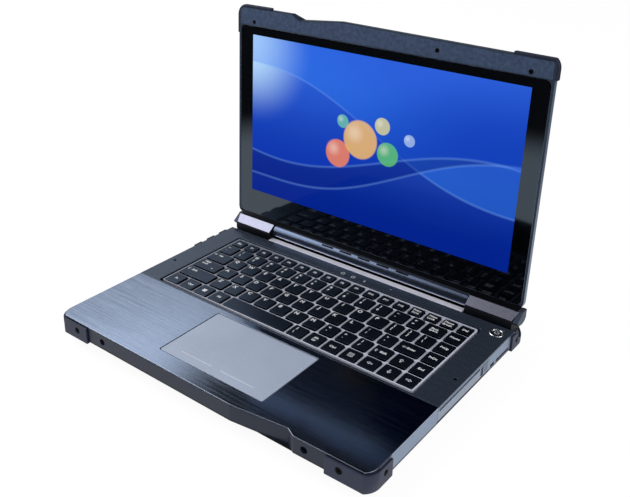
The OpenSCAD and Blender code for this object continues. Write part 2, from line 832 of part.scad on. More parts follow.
module base_bumpers() color("#2c303a") {
  difference() {
    intersection() {
      bumper_wrap();
      both_sides() {
        span([side_x - bumper_front_l, front_y - 5, 0], [side_x + 5, front_y + bumper_side_l, deck_z]);
        span([side_x - 22, rear_y - 28, 0], [side_x + 5, rear_y + 5, deck_z]);
      }
    }
    both_sides() {
      rod_x(barrel_x, side_x + 5, axis_y, axis_z, recess_r + 0.3);
      span([barrel_x, axis_y, axis_z - recess_r * 0.62], [side_x + 5, rear_y + 5, deck_z]);
      rod_y(front_y - 5, front_y + 5, bumper_screw_x, screw_z, screw_hole_r);
      rod_x(side_x - 1, side_x + 5, side_screw_y, screw_z, small_head_r + 0.4);
      rod_x(side_x - 1, side_x + 5, rear_screw_y, rear_screw_z, small_head_r + 0.4);
    }
  }
}

// A screw along z: its head at the bottom, with a hexagonal recess
module screw(l, r = screw_r, head = head_r - 0.2, head_h = 1.2) {
  difference() {
    cylinder(h = head_h, r = head);
    translate([0, 0, -eps]) cylinder(h = head_h / 2 + eps, r = head / 2, $fn = 6);
  }
  translate([0, 0, head_h - eps]) cylinder(h = l + eps, r = r - 0.05);
}

// Screws that hold the bumpers: one in front and two beside at each side
module bumper_screws() color("#0d0e12") {
  head_h = 1.2;
  for (x = [-bumper_screw_x, bumper_screw_x]) {
    translate([x, lookup(x, front_line) - head_h - 0.05, screw_z]) rotate([-90, 0, 0]) screw(3);
  }
  both_sides() {
    for (p = [[side_screw_y, screw_z], [rear_screw_y, rear_screw_z]]) {
      translate([side_x + head_h, p[0], p[1]]) rotate([0, -90, 0])
        screw(2.6, small_screw_r, small_head_r, head_h);
    }
  }
}

// Screws through the bottom case, in the front face and through the deck
module case_screws() color("#15171c") {
  for (p = case_screw_xy) translate([p[0], p[1], foot_h + 0.2]) screw(8);
  for (x = front_screw_x) {
    translate([x, front_y + 8.8, screw_z]) rotate([-90, 0, 0]) screw(3.2);
  }
  both_sides() translate([deck_screw_xy[0], deck_screw_xy[1], deck_z - 0.2]) rotate([180, 0, 0])
    screw(1.6, deck_screw_r, 1.6, 1.2);
}

module feet() color("#101114") {
  foot_l = 32;
  foot_w = 9;
  for (x = [-foot_x, foot_x], y = [-foot_y, foot_y]) {
    translate([x, y, 0]) linear_extrude(foot_h)
      panel_2d(-foot_l / 2, -foot_w / 2, foot_l / 2, foot_w / 2, 4);
  }
}

// ---------------------------------------------------------------- inside the base

// A chip on the board: position of its middle, size and height
module chip(x, y, w, d, h) {
  translate([x - w / 2, y - d / 2, board_top - eps]) cube([w, d, h + eps]);
}

cpu_h = 2;
module motherboard() color("#1f5a3a") {
  bay_x = tray_x0 - 7;
  bay_y = tray_y1 + 8;
  fan_x = fan_xy[0] + fan_half + 4;
  fan_y = fan_xy[1] - fan_half - 6;
  slab(board_z, board_top) polygon([
    [board_x0, board_y0], [bay_x, board_y0], [bay_x, bay_y], [board_x1, bay_y],
    [board_x1, board_y1], [fan_x, board_y1], [fan_x, fan_y], [board_x0, fan_y]
  ]);
  chip(cpu_xy[0], cpu_xy[1], 26, 26, cpu_h);
  chip(cpu_xy[0] + 34, cpu_xy[1] + 4, 14, 14, 1.6);
  chip(cpu_xy[0] + 38, cpu_xy[1] - 26, 18, 12, 1.2);
  chip(board_x0 + 46, board_y0 + 32, 16, 16, 1.4);
  for (i = [0:3]) chip(cpu_xy[0] - 22 + i * 16, cpu_xy[1] - 36, 8, 12, 1);
  for (i = [0:4]) chip(board_x0 + 16 + i * 12, board_y0 + 16, 6, 6, 3);
}

// Plate on the processor, a heat pipe and fins in front of the exhaust slots
module heatsink() color("#b87333") {
  plate_w = 36;
  plate_h = 1.5;
  pipe_x = cpu_xy[0] - 12;
  pipe_z = fin_z + 3;
  pipe_y = fin_y0 + 6;
  fin_h = 5.8;
  fins = 20;
  fin_pitch = fin_w / fins;
  fin_x0 = fan_xy[0] - fin_w / 2;
  fin_t = 0.5;
  fin_d = rear_y - rail_t - 0.3 - fin_y0;
  translate([cpu_xy[0] - plate_w / 2, cpu_xy[1] - plate_w / 2, board_top + cpu_h])
    cube([plate_w, plate_w, plate_h]);
  span([pipe_x - 3, cpu_xy[1] - 10, board_top + cpu_h], [pipe_x + 3, cpu_xy[1] + 10, pipe_z]);
  rod_y(cpu_xy[1] - 10, pipe_y, pipe_x, pipe_z, pipe_r);
  rod_x(fin_x0, pipe_x, pipe_y, pipe_z, pipe_r);
  translate([pipe_x, pipe_y, pipe_z]) sphere(r = pipe_r);
  for (i = [0:fins]) {
    translate([fin_x0 + i * fin_pitch, fin_y0, fin_z]) cube([fin_t, fin_d, fin_h]);
  }
  translate([fin_x0, fin_y0, fin_z + fin_h - fin_t]) cube([fin_w + fin_t, fin_d, fin_t]);
}

// Fan housing, open to the rear, on four short legs
fan_boss_r = 4;
fan_boss_h = 4;
module fan_housing() color("#26282d") {
  x = fan_xy[0];
  y = fan_xy[1];
  inner_r = fan_r + 1.5;
  inlet_r = fan_r - 6;
  z0 = fan_z + fan_wall;
  z1 = fan_z + fan_h - fan_wall;
  difference() {
    span([x - fan_half, y - fan_half, fan_z], [x + fan_half, y + fan_half, fan_z + fan_h]);
    translate([x, y, z0]) cylinder(h = z1 - z0, r = inner_r);
    span([x - inner_r, y, z0], [x + inner_r, y + fan_half + eps, z1]);
    translate([x, y, fan_z - eps]) cylinder(h = fan_h + 2 * eps, r = inlet_r);
  }
  for (a = [0, 60, 120]) {
    translate([x, y, fan_z]) rotate([0, 0, a])
      translate([-inlet_r - 1, -1.5, 0]) cube([2 * inlet_r + 2, 3, fan_wall]);
  }
  translate([x, y, fan_z]) cylinder(h = fan_wall + fan_boss_h, r = fan_boss_r);
  for (i = [-1, 1], j = [-1, 1]) {
    translate([x + i * (fan_half - 4), y + j * (fan_half - 8), floor_z])
      cylinder(h = fan_z - floor_z + eps, r = 2.5);
  }
}

// Rotor on the housing's boss: a hub with thin blades and a thin ring under them
module fan_rotor() color("#3a3d45") {
  hub_r = 9;
  z0 = fan_z + fan_wall + 0.5;
  blade_z0 = z0;
  blade_h = 5;
  hub_h = 5.4;
  ring_h = 0.8;
  translate([fan_xy[0], fan_xy[1], z0]) {
    difference() {
      union() {
        cylinder(h = hub_h, r = hub_r);
        difference() {
          cylinder(h = ring_h, r = fan_r);
          translate([0, 0, -eps]) cylinder(h = ring_h + 2 * eps, r = fan_r - 1.5);
        }
        for (i = [0:fan_blades - 1]) {
          rotate([0, 0, i * 360 / fan_blades]) translate([hub_r - 0.5, 0, 0])
            rotate([0, 0, 14]) cube([fan_r - hub_r, 0.7, blade_h]);
        }
      }
      translate([0, 0, -eps]) cylinder(h = fan_boss_h - 0.2, r = fan_boss_r + shaft_clear);
    }
  }
}

module battery_pack() color("#2a2c30") {
  cells = 3;
  cell_w = (2 * battery_x - 8) / cells;
  span([-battery_x, battery_y0, floor_z], [battery_x, battery_y1, floor_z + battery_t - 1]);
  for (i = [0:cells - 1]) {
    x0 = -battery_x + 2 + i * (cell_w + 2);
    span([x0, battery_y0 + 2, floor_z + battery_t - 1 - eps],
         [x0 + cell_w, battery_y1 - 2, floor_z + battery_t]);
  }
}

// Memory module in its socket on the board's underside
module memory_module() color("#2c6b45") {
  w = 67.6;
  x0 = (door_x0 + door_x1) / 2 - w / 2;
  y0 = door_y0 + 8;
  z0 = floor_z + 1.2;
  span([x0, y0, z0], [x0 + w, y0 + 30, z0 + 1]);
  for (i = [0:3]) span([x0 + 4 + i * 16, y0 + 5, z0 - 0.9], [x0 + 15 + i * 16, y0 + 19, z0 + eps]);
  span([x0 - 1, y0 + 25, z0], [x0 + w + 1, y0 + 32, board_z]);
}

module wireless_card() color("#2f7350") {
  card_xy = [tray_x0 + 7, tray_y1 + 12];
  z0 = board_top + 1.4;
  span([card_xy[0], card_xy[1], z0], [card_xy[0] + 30, card_xy[1] + 22, z0 + 0.8]);
  span([card_xy[0] + 6, card_xy[1] + 4, z0 + 0.8 - eps], [card_xy[0] + 26, card_xy[1] + 18, z0 + 2]);
  span([card_xy[0] - 3, card_xy[1], board_top], [card_xy[0] + 3, card_xy[1] + 22, z0 + 1.6]);
  span([card_xy[0] + 26, card_xy[1] + 2, board_top], [card_xy[0] + 29, card_xy[1] + 20, z0 + eps]);
}

// One speaker box on each side of the battery, with a round diaphragm
module speakers() color("#30323a") {
  box_h = 10;
  y0 = -foot_y + 12;
  both_sides() difference() {
    span([battery_x + 4, y0, floor_z], [battery_x + 28, y0 + 34, floor_z + box_h]);
    translate([battery_x + 16, y0 + 12, floor_z + box_h - 1]) cylinder(h = 2, r = 9);
    translate([battery_x + 16, y0 + 27, floor_z + box_h - 1]) cylinder(h = 2, r = 4);
  }
}

// Metal shell of a port behind the left-hand rail, with its tongue
module port_shell(y, w, h, tongue_z, tongue_h) {
  x0 = -side_x + rail_t;
  difference() {
    span([x0, y - w / 2 - socket_t, port_z - h / 2 - socket_t],
         [x0 + socket_l, y + w / 2 + socket_t, port_z + h / 2 + socket_t]);
    span([x0 - eps, y - w / 2, port_z - h / 2], [x0 + socket_l - 1, y + w / 2, port_z + h / 2]);
  }
  span([x0 + 1, y - w / 2 + 0.8, tongue_z], [x0 + socket_l - 0.5, y + w / 2 - 0.8, tongue_z + tongue_h]);
}
module port_sockets() color("#b9bdc4") {
  for (i = [0, 1]) port_shell(port_ys[i], usb_w, usb_h, port_z + 0.2, 1.8);
  difference() {
    port_shell(port_ys[2], network_w, network_h, port_z + network_h / 2 - 1.4, 1.4);
  }
}

// Jacks whose collars fill round holes in the left-hand rail
module jack(y, bore_r, collar_r, body_w, bore_l) {
  x0 = -side_x;
  difference() {
    union() {
      rod_x(x0 + 0.1, x0 + rail_t + eps, y, port_z, collar_r - 0.05);
      span([x0 + rail_t, y - body_w / 2, port_z - body_w / 2], [x0 + bore_l + 2, y + body_w / 2, port_z + body_w / 2]);
    }
    rod_x(x0, x0 + bore_l, y, port_z, bore_r);
  }
}
module audio_jack() color("#17181c") {
  jack(jack_y[0], audio_r, audio_r + 1.1, 7, 14);
}
module power_inlet() color("#1b1c21") {
  jack(jack_y[1], inlet_r, inlet_r + 1, 8.4, 11);
  rod_x(-side_x + 2, -side_x + 11.5, jack_y[1], port_z, 0.8);
}

module card_reader() color("#9fa4ac") {
  d = 28;
  x1 = side_x - rail_t;
  z0 = rail_z + 0.1;
  difference() {
    span([x1 - d, card_y0 - 1, z0], [x1, card_y0 + card_w + 1, z0 + 4.4]);
    span([x1 - d + 2, card_y0, z0 + 0.5], [x1 + eps, card_y0 + card_w, z0 + 0.5 + card_h]);
  }
}

// Hinge brackets fixed under the barrel; their ears carry the shafts
module hinge_mounts() color("#8a8f98") {
  base_t = 1.6;
  z0 = barrel_base_z - 2 - base_t;
  y1 = barrel_front_y + barrel_wall + 6;
  both_sides() {
    span([ear_x - 24, barrel_front_y - 3, z0], [ear_x + ear_t, rear_y - rail_t - 0.3, z0 + base_t]);
    difference() {
      span([ear_x, barrel_front_y + barrel_wall + 1, z0], [ear_x + ear_t, y1, axis_z]);
      rod_x(ear_x - eps, ear_x + ear_t + eps, axis_y, axis_z, 0.5);
    }
    rod_x(ear_x, ear_x + ear_t, axis_y, axis_z, ear_r);
    rod_x(ear_x, ear_x + shaft_l, axis_y, axis_z, shaft_r);
  }
}

// ---------------------------------------------------------------- touchpad

module touchpad() color("#8d8ba0") {
  slab(pad_bottom, pad_top) panel_2d(pad_x0, pad_y0, pad_x1, pad_y1, 1.6);
}

// Tray under the touchpad: side rails up to the palm rest, a pivot rail and a click switch
module touchpad_bracket() color("#4a4d55") {
  side_t = 2;
  x0 = pad_x0 - 4;
  x1 = pad_x1 + 4;
  y0 = pad_y0 - 4;
  y1 = pad_y1 + 2.4;
  span([x0, y0, pad_tray_z], [x1, y1, pad_tray_z + pad_tray_t]);
  span([x0, y0, pad_tray_z], [x0 + side_t, y1, plate_z]);
  span([x1 - side_t, y0, pad_tray_z], [x1, y1, plate_z]);
  span([pad_x0 + 4, pad_y1 - 4, pad_tray_z], [pad_x1 - 4, pad_y1 - 1, pad_bottom - 0.25]);
  translate([pad_x, pad_y0 + 8, pad_tray_z]) cylinder(h = pad_bottom - 0.8 - pad_tray_z, r = 3);
}

// ---------------------------------------------------------------- drive bay

latch_y1 = bay_y1 - 1.4;
latch_y0 = latch_y1 - latch_l;
latch_z0 = bay_z0 + 1.2;
latch_z1 = bay_z1 - 1.2;
latch_recess = 1.2;
tray_wall_h = 5;

module drive_caddy() color("#6a7384") {
  groove_d = 1.3;
  groove_h = 1.9;
  x0 = side_x - rail_t;
  difference() {
    span([x0, bay_y0, bay_z0], [side_x, bay_y1, bay_z1]);
    span([side_x - groove_d, bay_y0 + 2.5, bay_z1 - groove_h], [side_x + eps, latch_y0 - 6, bay_z1 + eps]);
    span([side_x - latch_recess, latch_y0 - latch_travel - 0.3, latch_z0 - 0.2],
         [side_x + eps, latch_y1 + 0.3, latch_z1 + 0.2]);
  }
  difference() {
    span([tray_x0, tray_y0, bay_z0], [x0 + eps, tray_y1, bay_z0 + tray_wall_h]);
    span([tray_x0 + tray_t, tray_y0 + tray_t, bay_z0 + tray_t],
         [x0 - tray_t, tray_y1 - tray_t, bay_z0 + tray_wall_h + eps]);
    for (i = [0:2]) {
      span([tray_x0 + 12 + i * 28, tray_y0 + 14, bay_z0 - eps],
           [tray_x0 + 30 + i * 28, tray_y1 - 14, bay_z0 + tray_t + eps]);
    }
  }
}

module storage_drive() color("#9aa0aa") {
  x0 = tray_x0 + tray_t + 0.6;
  y0 = tray_y0 + tray_t + 0.2;
  z0 = bay_z0 + tray_t;
  span([x0, y0, z0], [x0 + drive_l, y0 + drive_w, z0 + drive_t - 1.2]);
  span([x0 + 1, y0 + 1, z0 + drive_t - 1.2 - eps], [x0 + drive_l - 8, y0 + drive_w - 1, z0 + drive_t]);
}

module drive_latch() color("#515867") {
  difference() {
    span([side_x - latch_recess, latch_y0, latch_z0], [side_x + 0.3, latch_y1, latch_z1]);
    for (i = [0:3]) {
      span([side_x - 0.2, latch_y0 + 1.6 + i * 1.7, latch_z0 + 1],
           [side_x + 1, latch_y0 + 2.4 + i * 1.7, latch_z1 - 1]);
    }
  }
}

// ---------------------------------------------------------------- port covers

// A cover that fills its pocket, with a tab at the top and a knuckle at the bottom
module port_cover(y) {
  tab_h = 4;
  tab_z1 = deck_z - 0.6;
  span([-side_x + 0.1, y - cover_w / 2, cover_z0],
       [-side_x + 0.1 + cover_t, y + cover_w / 2, cover_z0 + cover_h]);
  span([-side_x - tab_out, y - tab_w / 2, tab_z1 - tab_h],
       [-side_x + 0.2, y + tab_w / 2, cover_z0 + cover_h]);
  span([-side_x - tab_out, y - tab_w / 2, tab_z1 - tab_h], [-side_x - 0.3, y + tab_w / 2, tab_z1]);
  translate([cover_pivot[0], y + tab_w / 2, cover_pivot[1]]) rotate([90, 0, 0])
    cylinder(h = tab_w, r = 0.5);
}
module front_usb_cover() color("#3b3f49") { port_cover(port_ys[0]); }
module rear_usb_cover() color("#3b3f49") { port_cover(port_ys[1]); }
module network_cover() color("#3b3f49") { port_cover(port_ys[2]); }

// ---------------------------------------------------------------- lid

shell_hollow_x = lid_side_x - 6.3;
shell_hollow_z0 = chin_z + 6;
shell_hollow_z1 = screen_z + screen_h + 5.6;
band_t = 1;
band_screw_xz = [
  [-lid_side_x + 19.5, lid_reach - 14.2], [lid_side_x * 0.362, lid_reach - 10.5],
  [lid_side_x - 20.4, lid_reach - 14.2]
];
band_screw_r = 1.2;
band_head_r = 2;

// The lid's outline without its notch, for the hull of the crowned back
module lid_2d_convex(inset) {
  intersection() {
    panel_2d(-lid_side_x + inset, chin_z + inset, lid_side_x - inset, lid_reach - inset,
             lid_corner_r - inset / 2);
    translate([0, -inset])
      polygon([[-lid_side_x - 1, 0], [lid_side_x + 1, 0],
        [lid_side_x + 1, lid_reach - lid_fall_right], [notch_x2, lid_reach],
        [-lid_side_x - 1, top_left(-lid_side_x - 1)]]);
  }
}

module lid_shell() color("#4b515e") {
  on_lid() difference() {
    union() {
      lid_slab(front_face, rim_depth - glass_off) lid_2d();
      hull() {
        lid_slab(rim_depth - glass_off - 0.5, rim_depth - glass_off) lid_2d_convex(0, $fn = 32);
        lid_slab(lid_back_y - 0.2, lid_back_y) lid_2d_convex(back_inset, $fn = 32);
      }
    }
    lid_slab(front_face - eps, lid_back_y + eps) intersection() {
      lid_top_cut();
      translate([notch_x0, lid_reach - 20]) square([notch_x2 - notch_x0, 40]);
    }
    lid_slab(front_face - eps, glass_front) panel_2d(-glass_x, chin_z - 20, glass_x, glass_top, glass_r);
    lid_slab(glass_front - eps, glass_back) panel_2d(-glass_x, glass_z, glass_x, glass_top, glass_r);
    lid_slab(front_face - eps, front_face + band_t) band_2d();
    lid_slab(front_face, lid_back_y - shell_t)
      panel_2d(-shell_hollow_x, shell_hollow_z0, shell_hollow_x, shell_hollow_z1, 4);
    for (p = band_screw_xz) rod_y(front_face, front_face + 6, p[0], p[1], band_screw_r);
    both_sides() arm_slot(chin_z - eps, shell_hollow_z0 + eps);
  }
}

// The band above the glass, inside the rim at both sides
module band_2d() {
  intersection() {
    lid_2d(0.8);
    translate([-glass_x, band_z]) square([2 * glass_x, lid_reach]);
  }
}
module lid_band() color("#5d6575") {
  on_lid() difference() {
    lid_slab(front_face, front_face + band_t) band_2d();
    for (p = band_screw_xz) rod_y(front_face - 1, front_face + 2, p[0], p[1], band_head_r + 0.1);
  }
}

module screen_glass() color("#0a0c12") {
  on_lid() lid_slab(glass_front, glass_back)
    panel_2d(-glass_x + 0.1, glass_z + 0.1, glass_x - 0.1, glass_top - 0.1, glass_r);
}

module lcd_panel() color("#2f6fd0") {
  z0 = screen_z - 5;
  on_lid() span([-panel_w / 2, glass_back, z0], [panel_w / 2, glass_back + panel_t, z0 + panel_h]);
}

module band_screws() color("#0c0d10") {
  on_lid() for (p = band_screw_xz) {
    translate([p[0], front_face + 0.1, p[1]]) rotate([-90, 0, 0])
      screw(3, band_screw_r, band_head_r, band_t - 0.1);
  }
}

// Side view of a hinge block in the lid's y and z: round below, flat and slanted above
module block_2d() {
  difference() {
    union() {
      circle(block_r);
      translate([0, 0]) square([lid_back_y, chin_z]);
      translate([glass_front, 0]) square([lid_back_y - glass_front, chin_z]);
    }
    polygon([strip_low, strip_top, [glass_front, chin_z + 20], [-20, chin_z + 20], [-20, strip_low[1]]]);
    translate([-20, chin_z]) square([40, 20]);
  }
}

arm_x0 = block_x0 + 1.5;
arm_x1 = arm_x0 + 16;
arm_y0 = glass_back + panel_t + 0.4;
arm_t = 1.5;
arm_z1 = 62;
pocket_clear = 0.3;

// Room for a hinge arm between two heights
module arm_slot(z0, z1) {
  span([arm_x0 - pocket_clear, arm_y0 - pocket_clear, z0],
       [arm_x1 + pocket_clear, arm_y0 + arm_t + pocket_clear, z1]);
}

module hinge_blocks() color("#23262e") {
  both_sides() on_lid() difference() {
    along_x(block_x0, block_x1) block_2d();
    rod_x(block_x0 - eps, arm_x1 + pocket_clear, 0, 0, knuckle_r + pocket_clear);
    arm_slot(0, chin_z + eps);
  }
}

// Lid-side hinge arms: a knuckle on the shaft, and a flat arm behind the panel
module hinge_arms() color("#9aa0a8") {
  pad_r = 3;
  both_sides() on_lid() {
    difference() {
      union() {
        rod_x(arm_x0, arm_x1, 0, 0, knuckle_r);
        span([arm_x0, arm_y0, 0], [arm_x1, arm_y0 + arm_t, arm_z1]);
      }
      rod_x(arm_x0 - eps, arm_x1 + eps, 0, 0, shaft_r + shaft_clear);
    }
    for (z = [26, 54]) {
      rod_y(arm_y0 + arm_t - eps, lid_back_y - shell_t, (arm_x0 + arm_x1) / 2, z, pad_r);
    }
  }
}

// Thin trim along the slanted face of each hinge block, its outer end cut on the slant
module hinge_strips() color("#a7a3ba") {
  inset = 0.6;
  mitre = 3.1;
  x0 = block_x0 + 0.4;
  x1 = lid_side_x - 2.3;
  both_sides() on_lid() translate([0, strip_low[0], strip_low[1]]) rotate([strip_angle, 0, 0])
    linear_extrude(trim_t)
      polygon([[x0, inset], [x1 - mitre, inset], [x1, strip_l - inset], [x0, strip_l - inset]]);
}

// Side view of a hinge end cap: the block's slanted face above a low, sloping foot
module end_cap_2d() {
  intersection() {
    block_2d();
    polygon([[-20, strip_low[1]], strip_low, [-5.8, -0.8], [1, -1.6], [5.5, 0], [lid_back_y, 3],
      [lid_back_y, chin_z - 0.2], [-20, chin_z - 0.2]]);
  }
}

// Rubber corners of the lid: two around the top corners, two that cap the hinge blocks
lid_bumper_x = [-lid_side_x + 40.3, lid_side_x - 36.8];
lid_bumper_z = [lid_reach - 27, lid_reach - 18];
module lid_bumpers() color("#2b2f38") {
  y0 = front_face + 0.3;
  y1 = rim_depth - glass_off;
  far = 20;
  on_lid() {
    lid_slab(y0, y1) difference() {
      lid_2d(-bumper_t);
      lid_2d();
      translate([lid_bumper_x[0], 0]) square([lid_bumper_x[1] - lid_bumper_x[0], lid_reach + far]);
      translate([-lid_side_x - far, -far]) square([lid_side_x + far, lid_bumper_z[0] + far]);
      translate([0, -far]) square([lid_side_x + far, lid_bumper_z[1] + far]);
    }
    both_sides() along_x(block_x1 + 0.2, lid_side_x + 0.6) end_cap_2d();
  }
}

// ---------------------------------------------------------------- keyboard

function key_box(row, i, grow) = [key_x0(row, i) + key_gap / 2 - grow, key_y0(row) + row_gap / 2 - grow,
  key_x1(row, i) - key_gap / 2 + grow, key_y1(row) - row_gap / 2 + grow];

module keyboard_frame() color("#c9ccd3") {
  web_z = kb_frame_top - kb_frame_t;
  border_w = kb_rim + key_gap / 4 - cap_clear;
  slab(web_z, deck_z - 0.1) difference() {
    panel_2d(-kb_w / 2, kb_y0, kb_w / 2, kb_y1, 2);
    panel_2d(-kb_w / 2 + border_w, kb_y0 + border_w, kb_w / 2 - border_w, kb_y1 - border_w, 1);
  }
  difference() {
    slab(web_z, kb_frame_top) panel_2d(-kb_w / 2, kb_y0, kb_w / 2, kb_y1, 2);
    for (row = [0:last_row], i = [0:len(key_rows[row]) - 1]) {
      b = key_box(row, i, cap_clear);
      slab(web_z - eps, kb_frame_top + eps)
        polygon(rounded(b[0], b[1], b[2], b[3], cap_r + cap_clear / 2, 2));
    }
  }
  slab(kb_plate_top, web_z + eps) difference() {
    panel_2d(-kb_w / 2, kb_y0, kb_w / 2, kb_y1, 2);
    panel_2d(-kb_w / 2 + kb_wall, kb_y0 + kb_wall, kb_w / 2 - kb_wall, kb_y1 - kb_wall, 1);
  }
}

module keyboard_plate() color("#8b9099") {
  lap = well_gap + kb_plate_lap;
  slab(kb_plate_top - kb_plate_t, kb_plate_top)
    panel_2d(-kb_w / 2 - lap, kb_y0 - lap, kb_w / 2 + lap, kb_y1 + lap, 3);
}

// Keycaps of one row, from the first to the last number: a body with a smaller, dished top
module keys(row, first, last) {
  top_h = 0.6;
  top_in = 0.3;
  for (i = [first:last]) {
    b = key_box(row, i, 0);
    slab(cap_bottom, cap_top - top_h) polygon(rounded(b[0], b[1], b[2], b[3], cap_r, 3));
    slab(cap_top - top_h - eps, cap_top)
      polygon(rounded(b[0] + top_in, b[1] + top_in, b[2] - top_in, b[3] - top_in, cap_r, 3));
  }
}

key_color = "#15161b";
module function_keys() color(key_color) { keys(5, 0, 16); }
module number_keys() color(key_color) { keys(4, 0, 12); }
module backspace_key() color(key_color) { keys(4, 13, 13); }
module upper_letter_keys() color(key_color) { keys(3, 1, 13); }
module home_letter_keys() color(key_color) { keys(2, 1, 11); }
module lower_letter_keys() color(key_color) { keys(1, 1, 10); }
module space_bar() color(key_color) { keys(0, 4, 4); }
module enter_key() color(key_color) { keys(2, 12, 12); }
module modifier_keys() color(key_color) {
  keys(0, 0, 3);
  keys(0, 5, 8);
}
module shift_keys() color(key_color) {
  keys(1, 0, 0);
  keys(1, 11, 11);
}
module tab_and_caps_keys() color(key_color) {
  keys(3, 0, 0);
  keys(2, 0, 0);
}
module arrow_keys() color(key_color) {
  keys(1, 12, 12);
  keys(0, 9, 11);
}
module navigation_keys() color(key_color) {
  keys(4, 14, 14);
  keys(3, 14, 14);
  keys(2, 13, 13);
  keys(1, 13, 13);
}

bottom_case();
side_frame();
port_plate();
palm_rest();
keyboard_deck();
keyboard_frame();
keyboard_plate();
accent_strip();
hinge_barrel();
power_ring();
status_lights();
base_bumpers();
bumper_screws();
case_screws();
feet();
service_door();
motherboard();
heatsink();
fan_housing();
battery_pack();
memory_module();
wireless_card();
speakers();
port_sockets();
audio_jack();
power_inlet();
card_reader();
hinge_mounts();
touchpad_bracket();
touchpad();
power_button();
fan_rotor();
drive_caddy();
storage_drive();
drive_latch();
front_usb_cover();
rear_usb_cover();
network_cover();
lid_shell();
lid_band();
screen_glass();
lcd_panel();
hinge_blocks();
hinge_strips();
lid_bumpers();
band_screws();
hinge_arms();
function_keys();
number_keys();
upper_letter_keys();
home_letter_keys();
lower_letter_keys();
modifier_keys();
space_bar();
enter_key();
backspace_key();
shift_keys();
tab_and_caps_keys();
arrow_keys();
navigation_keys();
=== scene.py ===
# %% [markdown]
# # A semi-rugged notebook computer, open on a table
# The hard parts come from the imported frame: every shell, key and hinge already has its
# true shape and place there. This lesson dresses that frame. It gives each part a finish
# made of shader nodes, rounds the edges that catch the light, and adds the thin things
# that a frame leaves out: shaped keycaps, their lettering, the marks on the deck and the
# picture on the screen. All lengths are metres; MM turns millimetres into metres.

# %% Load the frame
import math

import bpy
import numpy as np
from mathutils import Matrix, Vector


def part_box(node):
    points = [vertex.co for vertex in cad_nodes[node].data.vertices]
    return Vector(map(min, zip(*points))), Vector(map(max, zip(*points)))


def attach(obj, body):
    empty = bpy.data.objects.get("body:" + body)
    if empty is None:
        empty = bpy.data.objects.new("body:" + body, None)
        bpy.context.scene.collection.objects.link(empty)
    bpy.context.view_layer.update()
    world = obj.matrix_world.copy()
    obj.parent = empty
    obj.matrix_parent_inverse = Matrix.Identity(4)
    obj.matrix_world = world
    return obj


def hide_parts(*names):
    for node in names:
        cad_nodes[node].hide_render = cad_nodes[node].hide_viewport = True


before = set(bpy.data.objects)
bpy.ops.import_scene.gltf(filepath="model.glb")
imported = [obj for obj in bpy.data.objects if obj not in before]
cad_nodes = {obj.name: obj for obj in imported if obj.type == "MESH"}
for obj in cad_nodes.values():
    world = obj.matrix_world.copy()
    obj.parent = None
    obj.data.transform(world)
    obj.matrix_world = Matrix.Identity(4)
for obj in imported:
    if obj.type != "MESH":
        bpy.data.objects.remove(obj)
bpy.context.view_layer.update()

MM = 0.001

# %% [markdown]
# ## The camera
# A product picture of a notebook is taken from a little above, over one front corner.
# The camera could be aimed with a constraint, but three turns are easier to read: first
# a tilt from looking straight down, then a turn about the upright axis, and a very small
# roll. The shift moves the picture on the sensor, so upright lines keep their lean.

# %% Camera
CAMERA_PLACE = Vector((392.40, -491.21, 418.35)) * MM
CAMERA_TURN = math.radians(37.5756)
CAMERA_TILT = math.radians(67.3921)
CAMERA_ROLL = math.radians(0.6673)

camera_data = bpy.data.cameras.new("camera")
camera_data.lens = 47.205
camera_data.sensor_width = 36
camera_data.shift_x = 0.01392
camera_data.shift_y = -0.10743
camera_data.clip_start = 0.01
camera_data.clip_end = 50
camera = bpy.data.objects.new("camera", camera_data)
camera.matrix_world = (
    Matrix.Translation(CAMERA_PLACE)
    @ Matrix.Rotation(CAMERA_TURN, 4, "Z")
    @ Matrix.Rotation(CAMERA_TILT, 4, "X")
    @ Matrix.Rotation(CAMERA_ROLL, 4, "Z")
)
bpy.context.scene.collection.objects.link(camera)
bpy.context.scene.camera = camera
bpy.context.scene.view_settings.view_transform = "Standard"
print("camera looks along", [round(v, 3) for v in camera.matrix_world.to_quaternion() @ Vector((0, 0, -1))])

# %% [markdown]
# ## Small helpers for shader nodes
# A material is a little network. Typing out every node with its links takes many lines,
# so one helper makes a node, sets its values and links whatever is already an output.
# The others stand on it: a sum, product or comparison, a mix of two colours, a smooth
# ramp, a soft noise, and the two things that masks are drawn from. Those are a point's
# place on its own piece, and the way the surface faces in the room.

# %% Node helpers
def add_node(tree, kind, inputs=None, **settings):
    """A new node of that kind; inputs go by name or number, and outputs given there are linked."""
    made = tree.nodes.new(kind)
    for key, value in settings.items():
        setattr(made, key, value)
    for key, value in (inputs or {}).items():
        if isinstance(value, bpy.types.NodeSocket):
            tree.links.new(value, made.inputs[key])
        else:
            made.inputs[key].default_value = value
    return made


def calc(tree, operation, first, second=0.0, third=0.0):
    """The output of one Math node."""
    return add_node(tree, "ShaderNodeMath", {0: first, 1: second, 2: third}, operation=operation).outputs[0]


def blend_colours(tree, share, first, second):
    """The output of one colour Mix node: first where share is 0, second where it is 1."""
    made = add_node(tree, "ShaderNodeMix", data_type="RGBA")
    for socket, value in ((made.inputs[0], share), (made.inputs[6], first), (made.inputs[7], second)):
        if isinstance(value, bpy.types.NodeSocket):
            tree.links.new(value, socket)
        else:
            socket.default_value = value
    return made.outputs[2]


def ramp_between(tree, value, low, high, out_low=0.0, out_high=1.0):
    """Smoothly from out_low to out_high as value goes from low to high."""
    made = add_node(tree, "ShaderNodeMapRange", {"Value": value, "From Min": low, "From Max": high,
                    "To Min": out_low, "To Max": out_high}, interpolation_type="SMOOTHSTEP")
    return made.outputs["Result"]


